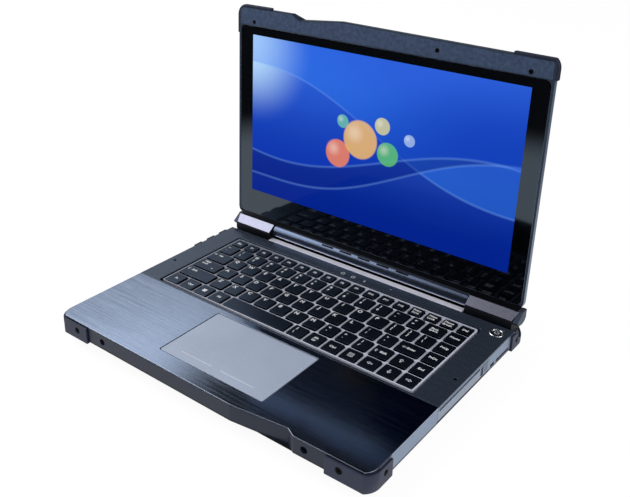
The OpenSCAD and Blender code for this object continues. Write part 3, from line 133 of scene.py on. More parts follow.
def soft_noise(tree, place, scale, detail, roughness=0.5):
    """The output of one Noise node, about 0.5 on average."""
    settings = {"Vector": place, "Scale": scale, "Detail": detail, "Roughness": roughness}
    return add_node(tree, "ShaderNodeTexNoise", settings).outputs["Fac"]


def object_place(tree):
    """Where a point lies on its own piece, which moves along with the piece."""
    return add_node(tree, "ShaderNodeTexCoord").outputs["Object"]


def split_axes(tree, vector):
    """The x, y and z of a vector, as three outputs."""
    return add_node(tree, "ShaderNodeSeparateXYZ", {0: vector}).outputs


def room_normal(tree):
    """The x, y and z of the way a surface faces, in the room's axes, so they change as a piece turns."""
    return split_axes(tree, add_node(tree, "ShaderNodeNewGeometry").outputs["Normal"])


# %% [markdown]
# ## Floor, surroundings and lamps
# The notebook stands in a white studio. Making the white with strong lamps would bleach
# the notebook, so the surroundings are white only to camera and glass rays, and a plain
# grey to the rest. Mirror rays see a studio of their own. Its walls go from dim near the
# floor to one and a half times white above, so metal looks lighter here than its written
# colour, and it is dark overhead and in front, where the camera stands. The floor glows
# too, mixed with a real matt surface that keeps the notebook's shadow, and goes dark
# away from the notebook for mirror rays.

# %% Studio
def sees_directly(tree, *rays):
    """1 for those kinds of rays, and 0 for the rest."""
    path = add_node(tree, "ShaderNodeLightPath")
    seen = path.outputs[rays[0]]
    for ray in rays[1:]:
        seen = calc(tree, "MAXIMUM", seen, path.outputs[ray])
    return seen


SEEING_RAYS = ("Is Camera Ray", "Is Glossy Ray", "Is Transmission Ray")
# The strength of the surroundings: for light on the notebook, and in mirrors at the foot of the walls,
# higher up, and in the two dark parts
SURROUND_LIGHT = 0.42
LOW_WALL, HIGH_WALL = 0.40, 1.50
DARK_LIGHT = 0.012
# The heights between which the walls grow brighter, and for each dark part the way to its middle and how
# near to that it begins and is complete
WALL_RISE = (0.43, 0.62)
OVERHEAD_MIDDLE, OVERHEAD_EDGE = (0.20, 0.45, 0.87), (0.60, 0.655)
FRONT_MIDDLE, FRONT_EDGE = (-0.30, -0.85, 0.43), (0.70, 0.85)

world = bpy.data.worlds.new("studio")
bpy.context.scene.world = world
world.use_nodes = True
tree = world.node_tree
tree.nodes.clear()
direction = add_node(tree, "ShaderNodeTexCoord").outputs["Generated"]
walls = ramp_between(tree, split_axes(tree, direction)[2], *WALL_RISE, LOW_WALL, HIGH_WALL)
for middle, edge in ((OVERHEAD_MIDDLE, OVERHEAD_EDGE), (FRONT_MIDDLE, FRONT_EDGE)):
    towards = add_node(tree, "ShaderNodeVectorMath", {0: direction, 1: middle}, operation="DOT_PRODUCT")
    darker = ramp_between(tree, towards.outputs["Value"], *edge, 1.0, DARK_LIGHT)
    walls = calc(tree, "MULTIPLY", walls, darker)
more = calc(tree, "SUBTRACT", walls, SURROUND_LIGHT)
mirrored = calc(tree, "MULTIPLY_ADD", sees_directly(tree, "Is Glossy Ray"), more, SURROUND_LIGHT)
strength = calc(tree, "MAXIMUM", mirrored, sees_directly(tree, "Is Camera Ray", "Is Transmission Ray"))
background = add_node(tree, "ShaderNodeBackground", {"Color": (1, 1, 1, 1), "Strength": strength})
add_node(tree, "ShaderNodeOutputWorld", {"Surface": background.outputs[0]})
print("mirror rays find walls of", LOW_WALL, "to", HIGH_WALL, "and", DARK_LIGHT, "in the dark parts")

# %% Floor
FLOOR_HALF = 4.0
FLOOR_COLOUR = (0.9, 0.9, 0.91, 1)
FLOOR_GLOW = 1.06
# How much of what is seen of the floor is the matt surface with the shadow on it
FLOOR_SHADE_SHARE = 0.12
# Between these distances from the origin, in metres, mirror rays find the floor dimmed to that share
FLOOR_FADE = (0.42, 0.62)
FAR_FLOOR = 0.03

floor_material = bpy.data.materials.new("studio_floor")
floor_material.use_nodes = True
tree = floor_material.node_tree
tree.nodes.clear()
away = add_node(tree, "ShaderNodeVectorMath", {0: object_place(tree)}, operation="LENGTH").outputs["Value"]
not_mirrored = calc(tree, "SUBTRACT", 1.0, sees_directly(tree, "Is Glossy Ray"))
seen = calc(tree, "MAXIMUM", not_mirrored, ramp_between(tree, away, *FLOOR_FADE, 1.0, FAR_FLOOR))
matt_colour = blend_colours(tree, seen, (0, 0, 0, 1), FLOOR_COLOUR)
matt = add_node(tree, "ShaderNodeBsdfDiffuse", {"Color": matt_colour})
glow_strength = calc(tree, "MULTIPLY", seen, FLOOR_GLOW)
glow = add_node(tree, "ShaderNodeEmission", {"Color": (1, 1, 1, 1), "Strength": glow_strength})
glow_share = calc(tree, "MULTIPLY", sees_directly(tree, *SEEING_RAYS), 1.0 - FLOOR_SHADE_SHARE)
mixed = add_node(tree, "ShaderNodeMixShader", {0: glow_share, 1: matt.outputs[0], 2: glow.outputs[0]})
add_node(tree, "ShaderNodeOutputMaterial", {"Surface": mixed.outputs[0]})

floor_mesh = bpy.data.meshes.new("floor")
floor_mesh.from_pydata([(-FLOOR_HALF, -FLOOR_HALF, 0), (FLOOR_HALF, -FLOOR_HALF, 0),
                        (FLOOR_HALF, FLOOR_HALF, 0), (-FLOOR_HALF, FLOOR_HALF, 0)], [], [(0, 1, 2, 3)])
floor = bpy.data.objects.new("floor", floor_mesh)
floor_mesh.materials.append(floor_material)
bpy.context.scene.collection.objects.link(floor)
print("floor of", 2 * FLOOR_HALF, "m")


# %% Lamps
def soft_lamp(name, place, aim, size, power):
    """A square lamp at place that points at aim, both in metres."""
    lamp_data = bpy.data.lights.new(name, "AREA")
    lamp_data.size = size
    lamp_data.energy = power
    lamp = bpy.data.objects.new(name, lamp_data)
    lamp.location = place
    lamp.rotation_euler = (Vector(aim) - Vector(place)).to_track_quat("-Z", "Y").to_euler()
    bpy.context.scene.collection.objects.link(lamp)
    return lamp


soft_lamp("key_lamp", (-1.36, -0.43, 0.94), (0, 0, 0.05), 1.6, 20)
soft_lamp("side_lamp", (1.4, 0.1, 0.7), (0.1, 0, 0.05), 0.9, 8)
print("lamps:", len(bpy.data.lights))

# %% [markdown]
# ## Effects that several finishes share
# Real surfaces are never one flat colour. Three effects do most of the work here, each
# built once as a node group and placed in the materials with other numbers:
# tone drift (large soft patches a little lighter or darker), fine grain (the orange peel
# of paint or moulded plastic, as a height for a Bump node), and brushed lines (thin
# scratches along one direction). Groups only put out colours, masks and heights.

# %% Node groups
def new_group(name, inputs, outputs):
    """An empty shader group with those named sockets, and its input and output nodes."""
    group = bpy.data.node_groups.new(name, "ShaderNodeTree")
    for label, kind, value in inputs:
        socket = group.interface.new_socket(name=label, in_out="INPUT", socket_type=kind)
        socket.default_value = value
    for label, kind in outputs:
        group.interface.new_socket(name=label, in_out="OUTPUT", socket_type=kind)
    return group, group.nodes.new("NodeGroupInput"), group.nodes.new("NodeGroupOutput")


# %% Tone drift
def build_tone_drift():
    """Colour times (1 plus or minus Amount), after a soft noise of two sizes on Object coordinates."""
    group, given, out = new_group(
        "tone_drift",
        [("Color", "NodeSocketColor", (0.5, 0.5, 0.5, 1)), ("Amount", "NodeSocketFloat", 0.1),
         ("Patches per m", "NodeSocketFloat", 20.0)],
        [("Color", "NodeSocketColor"), ("Mask", "NodeSocketFloat")])
    place = object_place(group)
    large = soft_noise(group, place, given.outputs[2], 3.0)
    small = soft_noise(group, place, calc(group, "MULTIPLY", given.outputs[2], 17.0), 2.0)
    both = calc(group, "MULTIPLY_ADD", small, 0.35, calc(group, "MULTIPLY", large, 0.65))
    mask = ramp_between(group, both, 0.34, 0.66)
    swing = calc(group, "MULTIPLY_ADD", calc(group, "MULTIPLY_ADD", mask, 2.0, -1.0), given.outputs[1], 1.0)
    tinted = add_node(group, "ShaderNodeVectorMath", {0: given.outputs[0], "Scale": swing}, operation="SCALE")
    group.links.new(tinted.outputs[0], out.inputs[0])
    group.links.new(mask, out.inputs[1])
    return group


# %% Fine grain
def build_fine_grain():
    """A height from two fine noises, one of them four times finer, on Object coordinates."""
    group, given, out = new_group(
        "fine_grain", [("Grains per m", "NodeSocketFloat", 1500.0)],
        [("Height", "NodeSocketFloat"), ("Mask", "NodeSocketFloat")])
    place = object_place(group)
    coarse = soft_noise(group, place, given.outputs[0], 1.0)
    fine = soft_noise(group, place, calc(group, "MULTIPLY", given.outputs[0], 4.0), 0.0)
    group.links.new(calc(group, "MULTIPLY_ADD", fine, 0.4, coarse), out.inputs[0])
    group.links.new(ramp_between(group, coarse, 0.35, 0.65), out.inputs[1])
    return group


# %% Brushed lines
def build_brushed_lines():
    """Noise on Object coordinates, squeezed across x, so that it draws long thin lines along x."""
    group, given, out = new_group(
        "brushed_lines",
        [("Lines per m", "NodeSocketFloat", 1400.0), ("Line length", "NodeSocketFloat", 0.03)],
        [("Height", "NodeSocketFloat"), ("Mask", "NodeSocketFloat")])
    parts = split_axes(group, object_place(group))
    along = calc(group, "MULTIPLY", parts[0], calc(group, "DIVIDE", 1.0, given.outputs[1]))
    across = calc(group, "MULTIPLY", parts[1], given.outputs[0])
    upward = calc(group, "MULTIPLY", parts[2], given.outputs[0])
    squeezed = add_node(group, "ShaderNodeCombineXYZ", {0: along, 1: across, 2: upward}).outputs[0]
    lines = soft_noise(group, squeezed, 1.0, 3.0, 0.6)
    widened = add_node(group, "ShaderNodeVectorMath", {0: squeezed, "Scale": 0.22}, operation="SCALE")
    broad = soft_noise(group, widened.outputs[0], 1.0, 1.0)
    height = calc(group, "MULTIPLY_ADD", broad, 0.6, lines)
    group.links.new(height, out.inputs[0])
    group.links.new(ramp_between(group, height, 0.55, 1.05), out.inputs[1])
    return group


TONE_DRIFT = build_tone_drift()
FINE_GRAIN = build_fine_grain()
BRUSHED_LINES = build_brushed_lines()
print("node groups:", [g.name for g in bpy.data.node_groups])

# %% [markdown]
# ## Finishes
# Each part could have its own material from scratch, but two recipes make nearly all of
# them. The grained one has tone drift in the colour and a fine grain in the bump and the
# roughness: it serves paint, anodising, bare metal, plastic and rubber, which differ in
# colour, grain and metal share. The brushed one has lines instead of the grain. Plain
# numbers, such as the metal share, stay on the shader itself.

# %% Finish recipes
BUMP_HEIGHT = 0.1 * MM


def shader_of(material):
    """A material's node tree and its Principled shader."""
    tree = material.node_tree
    return tree, next(n for n in tree.nodes if n.type == "BSDF_PRINCIPLED")


def new_finish(name, **plain_values):
    """A material with only its Principled shader, which gets those plain socket values."""
    material = bpy.data.materials.new(name)
    material.use_nodes = True
    tree, shader = shader_of(material)
    for label, value in plain_values.items():
        shader.inputs[label.replace("_", " ")].default_value = value
    return material, tree, shader


def use_group(tree, group, **values):
    """A group placed in a material with its inputs set."""
    placed = add_node(tree, "ShaderNodeGroup", node_tree=group)
    for label, value in values.items():
        socket = placed.inputs[label.replace("_", " ")]
        if isinstance(value, bpy.types.NodeSocket):
            tree.links.new(value, socket)
        else:
            socket.default_value = value
    return placed


def add_bump(tree, shader, height, depth):
    """Joins a height to the shader's normal through a Bump node."""
    bump = add_node(tree, "ShaderNodeBump", {"Strength": depth, "Distance": BUMP_HEIGHT, "Height": height})
    tree.links.new(bump.outputs["Normal"], shader.inputs["Normal"])


def add_roughness(tree, shader, mask, low, high):
    """Roughness from low to high as the mask goes from 0 to 1."""
    tree.links.new(ramp_between(tree, mask, 0.0, 1.0, low, high), shader.inputs["Roughness"])


# %% Masks, grained and brushed finishes
def paint_over(tree, shader, share, colour):
    """Where share is 1, the shader gets that colour instead of the one it has."""
    own = shader.inputs["Base Color"].links[0].from_socket
    tree.links.new(blend_colours(tree, share, own, (*colour, 1)), shader.inputs["Base Color"])


def drift_and_grain(tree, shader, colour, drift, patches, grains, rough, depth):
    """Tone drift over a colour that a mask makes, and grain in the roughness and the bump."""
    tone = use_group(tree, TONE_DRIFT, Color=colour, Amount=drift, Patches_per_m=patches)
    grain = use_group(tree, FINE_GRAIN, Grains_per_m=grains)
    tree.links.new(tone.outputs["Color"], shader.inputs["Base Color"])
    add_roughness(tree, shader, grain.outputs["Mask"], *rough)
    add_bump(tree, shader, grain.outputs["Height"], depth)


def grained_finish(name, colour, rough, drift=0.12, patches=25.0, grains=1500.0, depth=0.15, **plain_values):
    """Paint, anodising, plastic or rubber: drifting tone, and a fine grain in bump and roughness."""
    material, tree, shader = new_finish(name, **plain_values)
    tone = use_group(tree, TONE_DRIFT, Color=(*colour, 1), Amount=drift, Patches_per_m=patches)
    grain = use_group(tree, FINE_GRAIN, Grains_per_m=grains)
    tree.links.new(tone.outputs["Color"], shader.inputs["Base Color"])
    half_tone = calc(tree, "MULTIPLY", tone.outputs["Mask"], 0.5)
    uneven = calc(tree, "MULTIPLY_ADD", grain.outputs["Mask"], 0.5, half_tone)
    add_roughness(tree, shader, uneven, rough - 0.05, rough + 0.05)
    add_bump(tree, shader, grain.outputs["Height"], depth)
    return material


def brushed_finish(name, colour, rough, contrast=0.25, lines=1400.0, line_length=0.03, depth=0.2, swing=0.07,
                   **plain_values):
    """Brushed metal: thin lines along x in colour, bump and roughness, under a slow drift."""
    material, tree, shader = new_finish(name, **plain_values)
    brushed = use_group(tree, BRUSHED_LINES, Lines_per_m=lines, Line_length=line_length)
    pale = tuple(c * (1 + contrast) for c in colour)
    dark = tuple(c * (1 - contrast) for c in colour)
    streaked = blend_colours(tree, brushed.outputs["Mask"], (*dark, 1), (*pale, 1))
    tone = use_group(tree, TONE_DRIFT, Color=streaked, Amount=0.05, Patches_per_m=12.0)
    tree.links.new(tone.outputs["Color"], shader.inputs["Base Color"])
    add_roughness(tree, shader, brushed.outputs["Mask"], rough - swing, rough + swing)
    add_bump(tree, shader, brushed.outputs["Height"], depth)
    return material


def dress(material, *names):
    """Puts the material in the first slot of those nodes' objects."""
    for name in names:
        cad_nodes[name].material_slots[0].material = material


# %% [markdown]
# ## The case
# The bottom is cast magnesium with a dark, slightly rough paint. The wall around it is
# the same charcoal, without metal, in front, which is painted shade for the face turned
# from the light, and a pale blue-grey satin metal along the sides and the back; the change
# hides under the rubber corners. The wall could be cut in two pieces, but one material
# serves it: a mask on y picks the colour and the metal share.

# %% Case finishes
# A weaker and slightly blue gloss
DIM_GLOSS = {"Specular_IOR_Level": 0.35, "Specular_Tint": (0.78, 0.89, 1.0, 1)}
# The front wall's colour is painted shade; the pale one is the own colour of the sides and back
WALL_SHADE = (0.011, 0.015, 0.034)
WALL_PALE = (0.25, 0.30, 0.40)
WALL_METAL_SHARE = 0.6
# In mm: how far back the painted shade on the front of the wall goes, and over what length it turns pale
FRONT_WALL_REACH = 14
WALL_CHANGE = 2

case_paint = grained_finish("case_paint", (0.013, 0.015, 0.022), 0.5, grains=1300.0, depth=0.25, **DIM_GLOSS)
dress(case_paint, "bottom_case", "service_door")

front_wall_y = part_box("side_frame")[0].y + FRONT_WALL_REACH * MM
wall_metal, tree, shader = new_finish("wall_metal", **DIM_GLOSS)
place_y = split_axes(tree, object_place(tree))[1]
side_share = ramp_between(tree, place_y, front_wall_y, front_wall_y + WALL_CHANGE * MM)
wall_colour = blend_colours(tree, side_share, (*WALL_SHADE, 1), (*WALL_PALE, 1))
drift_and_grain(tree, shader, wall_colour, 0.08, 30.0, 1800.0, (0.36, 0.46), 0.12)
tree.links.new(calc(tree, "MULTIPLY", side_share, WALL_METAL_SHARE), shader.inputs["Metallic"])
dress(wall_metal, "side_frame", "port_plate")

bay_metal = grained_finish("bay_metal", (0.26, 0.31, 0.40), 0.4, Metallic=0.6, drift=0.06)
dress(bay_metal, "drive_caddy", "drive_latch")
print("the wall is dark up to y =", round(front_wall_y / MM, 1), "mm")

# %% [markdown]
# ## Palm rest and keyboard deck
# Both are aluminium brushed from left to right. The palm rest is pale and smooth enough
# to mirror the studio; the deck round the keys is darker and duller. The upright edge of
# the palm rest is painted shade: it gets the shade colour of the wall under it. It could be
# a piece of its own, but a mask on the way the surface faces finds it, as far back as the
# bumpers reach.

# %% Deck finishes
FINE_LINES = {"lines": 4200.0, "line_length": 9 * MM, "depth": 0.06}
PALM_LINES = {"lines": 2600.0, "line_length": 20 * MM, "depth": 0.08}
BUMPER_REACH = 16

deck_brushed = brushed_finish("deck_brushed", (0.33, 0.415, 0.585), 0.12, contrast=0.20, swing=0.03,
                              Metallic=1.0, **PALM_LINES)
dress(deck_brushed, "palm_rest")
tree, shader = shader_of(deck_brushed)
place_y = split_axes(tree, object_place(tree))[1]
# Painted shade on the palm rest's upright edge, in the front wall's shade colour
upright = calc(tree, "MULTIPLY", ramp_between(tree, room_normal(tree)[2], 0.3, 0.6, 1.0, 0.0),
               calc(tree, "LESS_THAN", place_y, front_wall_y + BUMPER_REACH * MM))
paint_over(tree, shader, upright, WALL_SHADE)

deck_dark = brushed_finish("deck_dark", (0.10, 0.13, 0.19), 0.24, contrast=0.12, swing=0.04, Metallic=0.75,
                           Specular_IOR_Level=0.2, **FINE_LINES)
dress(deck_dark, "keyboard_deck")
print("brushed lines per mm:", PALM_LINES["lines"] * MM, "on the palm rest,", FINE_LINES["lines"] * MM,
      "on the deck")

# %% [markdown]
# ## The hinge
# The barrel is dark, with a painted highlight along its crest and its lower lip, and
# painted shade, black, in its slots and in the groove under the lip. Strips of mesh could
# carry the lines, but masks need no new piece: y finds the crest, z the lip and the
# groove, and the distance from the barrel's middle line the slots, which lie deeper than
# its skin. The bright crest is painted on, so it stays where it is when the light moves.

# %% Hinge finishes
# Sizes in mm: where the painted highlights on the crest and lip lie and half their widths, how deep
# a slot has to be to get the painted black shade, and where the shaded groove begins
BARREL_RADIUS = 7.8
BARREL_Y = 117.25
CREST_FRONT = 1.9
CREST_HALF = 0.6
LIP_DROP = 2
LIP_HALF = 0.45
SLOT_DEPTH = 0.15
GROOVE_EDGE = 0.02
# The colour of the painted highlight, and the black of painted shade, here and under the glass
BARREL_HIGHLIGHT = (0.75, 0.78, 0.88)
SHADE_BLACK = (0.002, 0.002, 0.003)

block_paint = grained_finish("block_paint", (0.004, 0.005, 0.008), 0.55, depth=0.15, Specular_IOR_Level=0.12)
dress(block_paint, "hinge_blocks")
strip_metal = brushed_finish("strip_metal", (0.20, 0.205, 0.27), 0.26, contrast=0.06, swing=0.03,
                             Metallic=0.9, **FINE_LINES)
dress(strip_metal, "hinge_strips")
accent_metal = brushed_finish("accent_metal", (0.80, 0.80, 0.92), 0.3, contrast=0.05, swing=0.03,
                              Metallic=0.1, **FINE_LINES)
dress(accent_metal, "accent_strip")
barrel_metal = brushed_finish("barrel_metal", (0.10, 0.13, 0.20), 0.24, contrast=0.06, swing=0.03,
                              Metallic=0.9, **FINE_LINES)
dress(barrel_metal, "hinge_barrel")
print("hinge finishes:", block_paint.name, strip_metal.name, accent_metal.name, barrel_metal.name)

# %% Barrel masks
barrel_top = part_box("hinge_barrel")[1] / MM
barrel_middle = Vector((0, BARREL_Y, barrel_top.z - BARREL_RADIUS))
lip_z = barrel_middle.z - LIP_DROP
tree, shader = shader_of(barrel_metal)
place = object_place(tree)
parts = split_axes(tree, place)
across = add_node(tree, "ShaderNodeVectorMath", {0: place, 1: (0, 1, 1)}, operation="MULTIPLY")
from_middle = add_node(tree, "ShaderNodeVectorMath", {0: across.outputs[0], 1: barrel_middle * MM},
                       operation="DISTANCE").outputs["Value"]


def near(value, middle, half):
    """1 where the value, in metres, lies within half of the middle, which are in mm."""
    away_from_it = calc(tree, "ABSOLUTE", calc(tree, "SUBTRACT", value, middle * MM))
    return calc(tree, "LESS_THAN", away_from_it, half * MM)


# Painted highlight on the crest and the lip, and painted shade, black, in the slots and the groove
crest_and_lip_highlight = calc(tree, "MAXIMUM", near(parts[1], barrel_middle.y - CREST_FRONT, CREST_HALF),
                near(parts[2], lip_z + LIP_HALF, LIP_HALF))
in_slot = calc(tree, "MULTIPLY", calc(tree, "LESS_THAN", from_middle, (BARREL_RADIUS - SLOT_DEPTH) * MM),
               calc(tree, "GREATER_THAN", parts[2], barrel_middle.z * MM))
hollow_shade = calc(tree, "MAXIMUM", in_slot, calc(tree, "LESS_THAN", parts[2], (lip_z + GROOVE_EDGE) * MM))
paint_over(tree, shader, crest_and_lip_highlight, BARREL_HIGHLIGHT)
paint_over(tree, shader, hollow_shade, SHADE_BLACK)
print("barrel's middle at z =", round(barrel_middle.z, 2), "mm, lip at", round(lip_z, 2))

# %% [markdown]
# ## Rubber
# Bumpers, port covers and feet are moulded rubber with a coarse grain and hardly any
# shine. The corners of the lid have a share of metal in their finish, as the painted lid
# beside them has, and are lighter near the hinge than at the top, which is a painted
# highlight. A second material could do that, but a mask on the height needs only one.

# %% Rubber finishes
RUBBER_COLOUR = (0.030, 0.035, 0.066)
# The lower corners' lighter colour is a painted highlight
LOW_CORNER_HIGHLIGHT = (0.040, 0.054, 0.085)
LOW_CORNER_TOP = 100  # mm above the table
rubber = grained_finish("bumper_rubber", RUBBER_COLOUR, 0.55, grains=1100.0, depth=0.3, **DIM_GLOSS)
dress(rubber, "base_bumpers", "front_usb_cover", "rear_usb_cover", "network_cover")
lid_rubber, tree, shader = new_finish("lid_corners", Metallic=0.3, **DIM_GLOSS)
is_low = calc(tree, "LESS_THAN", split_axes(tree, object_place(tree))[2], LOW_CORNER_TOP * MM)
corner_colour = blend_colours(tree, is_low, (*RUBBER_COLOUR, 1), (*LOW_CORNER_HIGHLIGHT, 1))
drift_and_grain(tree, shader, corner_colour, 0.1, 30.0, 1100.0, (0.45, 0.55), 0.2)
dress(lid_rubber, "lid_bumpers")
foot_rubber = grained_finish("foot_rubber", (0.015, 0.015, 0.017), 0.75, grains=900.0, depth=0.4)
dress(foot_rubber, "feet")
print("rubber finishes:", rubber.name, lid_rubber.name, foot_rubber.name)

# %% [markdown]
# ## The lid
# Lid and band are painted metal with a fine blue-grey texture. Two masks change the
# shell's colour: its sides are lighter, a painted highlight, and the rim below the glass is
# black, a painted shade. Both could be separate slots, but the shell is one solid. The rim's
# mask also asks that the surface faces forward in the room, so the painted shade is lost
# once the lid is two thirds closed.

# %% Lid finishes
# The colour of the painted highlight on the shell's sides
LID_SIDE_HIGHLIGHT = (0.14, 0.18, 0.24)
CHIN_OVERLAP = 0.6
CHIN_FACING = -0.5
lid_paint = grained_finish("lid_paint", (0.034, 0.048, 0.082), 0.42, grains=1500.0, depth=0.25, Metallic=0.3,
                           **DIM_GLOSS)
dress(lid_paint, "lid_shell")
tree, shader = shader_of(lid_paint)
facing = room_normal(tree)
side_highlight = ramp_between(tree, calc(tree, "ABSOLUTE", facing[0]), 0.6, 0.9)
height = split_axes(tree, object_place(tree))[2]
# Painted shade: the rim below the glass turns black where it faces forward
below_glass = calc(tree, "LESS_THAN", height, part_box("screen_glass")[0].z + CHIN_OVERLAP * MM)
chin_shade = calc(tree, "MULTIPLY", below_glass, calc(tree, "LESS_THAN", facing[1], CHIN_FACING))
paint_over(tree, shader, side_highlight, LID_SIDE_HIGHLIGHT)
paint_over(tree, shader, chin_shade, SHADE_BLACK)
band_paint = grained_finish("band_paint", (0.056, 0.086, 0.160), 0.46, drift=0.22, patches=300.0,
                            grains=1000.0, depth=0.5, Metallic=0.2, **DIM_GLOSS)
dress(band_paint, "lid_band")
print("lid finishes:", lid_paint.name, band_paint.name)

# %% [markdown]
# ## Inner and small parts
# Most of these are seen only when a cover opens or the drive slides out, but they get
# real finishes all the same: green lacquered board with pale tracks, copper, steel,
# nickel shells round the sockets, black moulded plastic, and black oxide on the screws.

# %% Inner finishes
steel = grained_finish("satin_steel", (0.55, 0.56, 0.58), 0.32, drift=0.06, Metallic=1.0)
dress(steel, "keyboard_plate", "touchpad_bracket", "hinge_mounts", "hinge_arms")
nickel = grained_finish("socket_nickel", (0.62, 0.60, 0.56), 0.25, drift=0.08, Metallic=1.0, depth=0.05)
dress(nickel, "port_sockets")
drive_alloy = grained_finish("drive_alloy", (0.60, 0.61, 0.62), 0.4, drift=0.05, Metallic=1.0, grains=2200.0)
dress(drive_alloy, "storage_drive")
copper = grained_finish("copper", (0.72, 0.36, 0.22), 0.3, drift=0.15, patches=80.0, Metallic=1.0, depth=0.05)
dress(copper, "heatsink")
black_plastic = grained_finish("black_plastic", (0.016, 0.017, 0.020), 0.45, grains=1400.0, depth=0.2)
dress(black_plastic, "audio_jack", "power_inlet", "card_reader", "fan_housing", "fan_rotor", "speakers")
battery_wrap = grained_finish("battery_wrap", (0.022, 0.024, 0.028), 0.5, drift=0.2, patches=60.0)
dress(battery_wrap, "battery_pack")
black_oxide = grained_finish("black_oxide", (0.003, 0.003, 0.004), 0.55, depth=0.1, Specular_IOR_Level=0.06)
dress(black_oxide, "case_screws", "bumper_screws", "band_screws")

board, tree, shader = new_finish("circuit_board", Roughness=0.35, Coat_Weight=0.5)
tracks = add_node(tree, "ShaderNodeTexBrick", {"Vector": object_place(tree), "Color1": (0.02, 0.13, 0.06, 1),
                  "Color2": (0.025, 0.16, 0.08, 1), "Mortar": (0.10, 0.26, 0.12, 1), "Scale": 220.0,
                  "Mortar Size": 0.03, "Brick Width": 1.7, "Row Height": 0.35})
tree.links.new(tracks.outputs["Color"], shader.inputs["Base Color"])
add_bump(tree, shader, tracks.outputs["Fac"], 0.3)
dress(board, "motherboard", "memory_module", "wireless_card")
print("finishes so far:", len(bpy.data.materials))

# %% [markdown]
# ## Edges that catch the light
# No real edge is perfectly sharp. The frame's meshes come as loose triangles, so the
# larger parts get three modifiers: Weld joins the triangles, a planar Decimate turns flat
# areas into single faces, and Bevel rounds every edge sharper than a limit. They leave the
# frame's own mesh alone. Bevel can also give its new faces another material: it makes the
# bright diamond-cut edge of the palm rest, and a painted highlight along the edge of the
# screen glass.

# %% Rounded edges
# In mm and degrees: points this near are one, faces this level are one, edges sharper than this are rounded
WELD_GAP = 0.002
FLAT_LIMIT = 0.5
EDGE_LIMIT = 40
EDGE_STEPS = 2


def round_edges(name, width, edge_material=None):
    """Welds, flattens and bevels a frame node's object; the width is in mm."""
    thing = cad_nodes[name]
    weld = thing.modifiers.new("weld", "WELD")
    weld.merge_threshold = WELD_GAP * MM
    flat = thing.modifiers.new("flat_areas", "DECIMATE")
    flat.decimate_type = "DISSOLVE"
    flat.angle_limit = math.radians(FLAT_LIMIT)
    bevel = thing.modifiers.new("round_edges", "BEVEL")
    bevel.width = width * MM
    bevel.segments = EDGE_STEPS
    bevel.limit_method = "ANGLE"
    bevel.angle_limit = math.radians(EDGE_LIMIT)
    bevel.harden_normals = True
    bevel.use_clamp_overlap = False
    if edge_material:
        thing.data.materials.append(edge_material)
        bevel.material = 1


EDGE_WIDTHS = {
    "palm_rest": 0.3, "keyboard_deck": 0.2, "side_frame": 0.25, "base_bumpers": 0.5, "lid_bumpers": 0.5,
    "lid_band": 0.25, "hinge_blocks": 0.4, "hinge_strips": 0.15, "accent_strip": 0.2, "screen_glass": 0.3,
    "touchpad": 0.15, "drive_caddy": 0.2,
}
# On the palm rest a diamond-cut edge; on the screen glass, a painted highlight along its edge
edge_and_glass_highlight = grained_finish("cut_edge_and_glass_highlight", (0.30, 0.34, 0.42), 0.3, Metallic=0.9, drift=0.1, depth=0.03)
for name, width in EDGE_WIDTHS.items():
    round_edges(name, width, edge_and_glass_highlight if name in ("palm_rest", "screen_glass") else None)
print("rounded:", sum(1 for o in cad_nodes.values() if "round_edges" in o.modifiers))

# %% [markdown]
# ## A piece from arrays
# New pieces are worked out with numpy and handed to Blender in one go. Each rides on
# the body it belongs to, and may stand for the frame's plain solid.

# %% Making a piece
def make_piece(name, points, faces, material, body, replaces=(), smooth_below=35.0):
    """A mesh object from an array of points and a list of faces, shaded smooth below that angle."""
    mesh = bpy.data.meshes.new(name)
    mesh.from_pydata(np.asarray(points).tolist(), [], faces)
    mesh.materials.append(material)
    mesh.polygons.foreach_set("use_smooth", np.ones(len(mesh.polygons), bool))
    mesh.set_sharp_from_angle(angle=math.radians(smooth_below))
    mesh.update()
    piece = bpy.data.objects.new(name, mesh)
    bpy.context.scene.collection.objects.link(piece)
    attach(piece, body)
    if replaces:
        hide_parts(*replaces)
    return piece


# %% [markdown]
# ## Keycaps
# A keycap is a shallow moulded tray: its wall leans in, a small fillet leads to a flat
# top. That is a rounded rectangle carried up a profile, so one set of arrays makes all
# the caps of a body at once. The layout is two lists of rows from front to rear: the
# words on the keys, and the keys' widths in key units. The finish is wholly metallic,
# for a sheen on the tops, and a mask on the height paints the walls nearly black, as
# painted shade.

# %% Keyboard layout
KEY_GAP = 3.5
ROW_GAP = 2.8
FRAME_RIM = 0.8
ROW_UNITS = 15
ROW_DEPTHS = [18.8] * 5 + [14.4]
CAP_TOP = 26.0
CAP_BOTTOM = 23.6
CAP_CORNER = 1.2
keyboard_low, keyboard_high = (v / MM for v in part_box("keyboard_frame"))
key_unit = (keyboard_high.x - keyboard_low.x - 2 * FRAME_RIM + KEY_GAP / 2) / ROW_UNITS

KEY_WORDS = [
    "Fn Ctrl list Alt blank |\\ AltGr Ctrl menu left down right",
    "Shift Z X C V B N M <, >. ?/ Shift up End",
    "Caps A S D F G H J K L :; \"' Enter PgDn",
    "Tab Q W E R T Y U I O P {[ }] |\\ PgUp",
    "~` !1 @2 #3 $4 %5 ^6 &7 *8 (9 )0 _- += Back Home",
    "Esc F1 F2 F3 F4 F5 F6 F7 F8 F9 F10 F11 F12 PrtSc Num Pause Del",
]
KEY_WIDTHS = [
    [1] * 4 + [4] + [1] * 7,
    [2.15] + [1] * 7 + [0.92] * 3 + [1.09, 1, 1],
    [1.7] + [1] * 10 + [0.9, 1.4, 1],
    [1.45] + [1] * 10 + [0.85, 0.8, 0.9, 1],
    [1] * 12 + [0.8, 1.2, 1],
    [ROW_UNITS / 17] * 17,
]
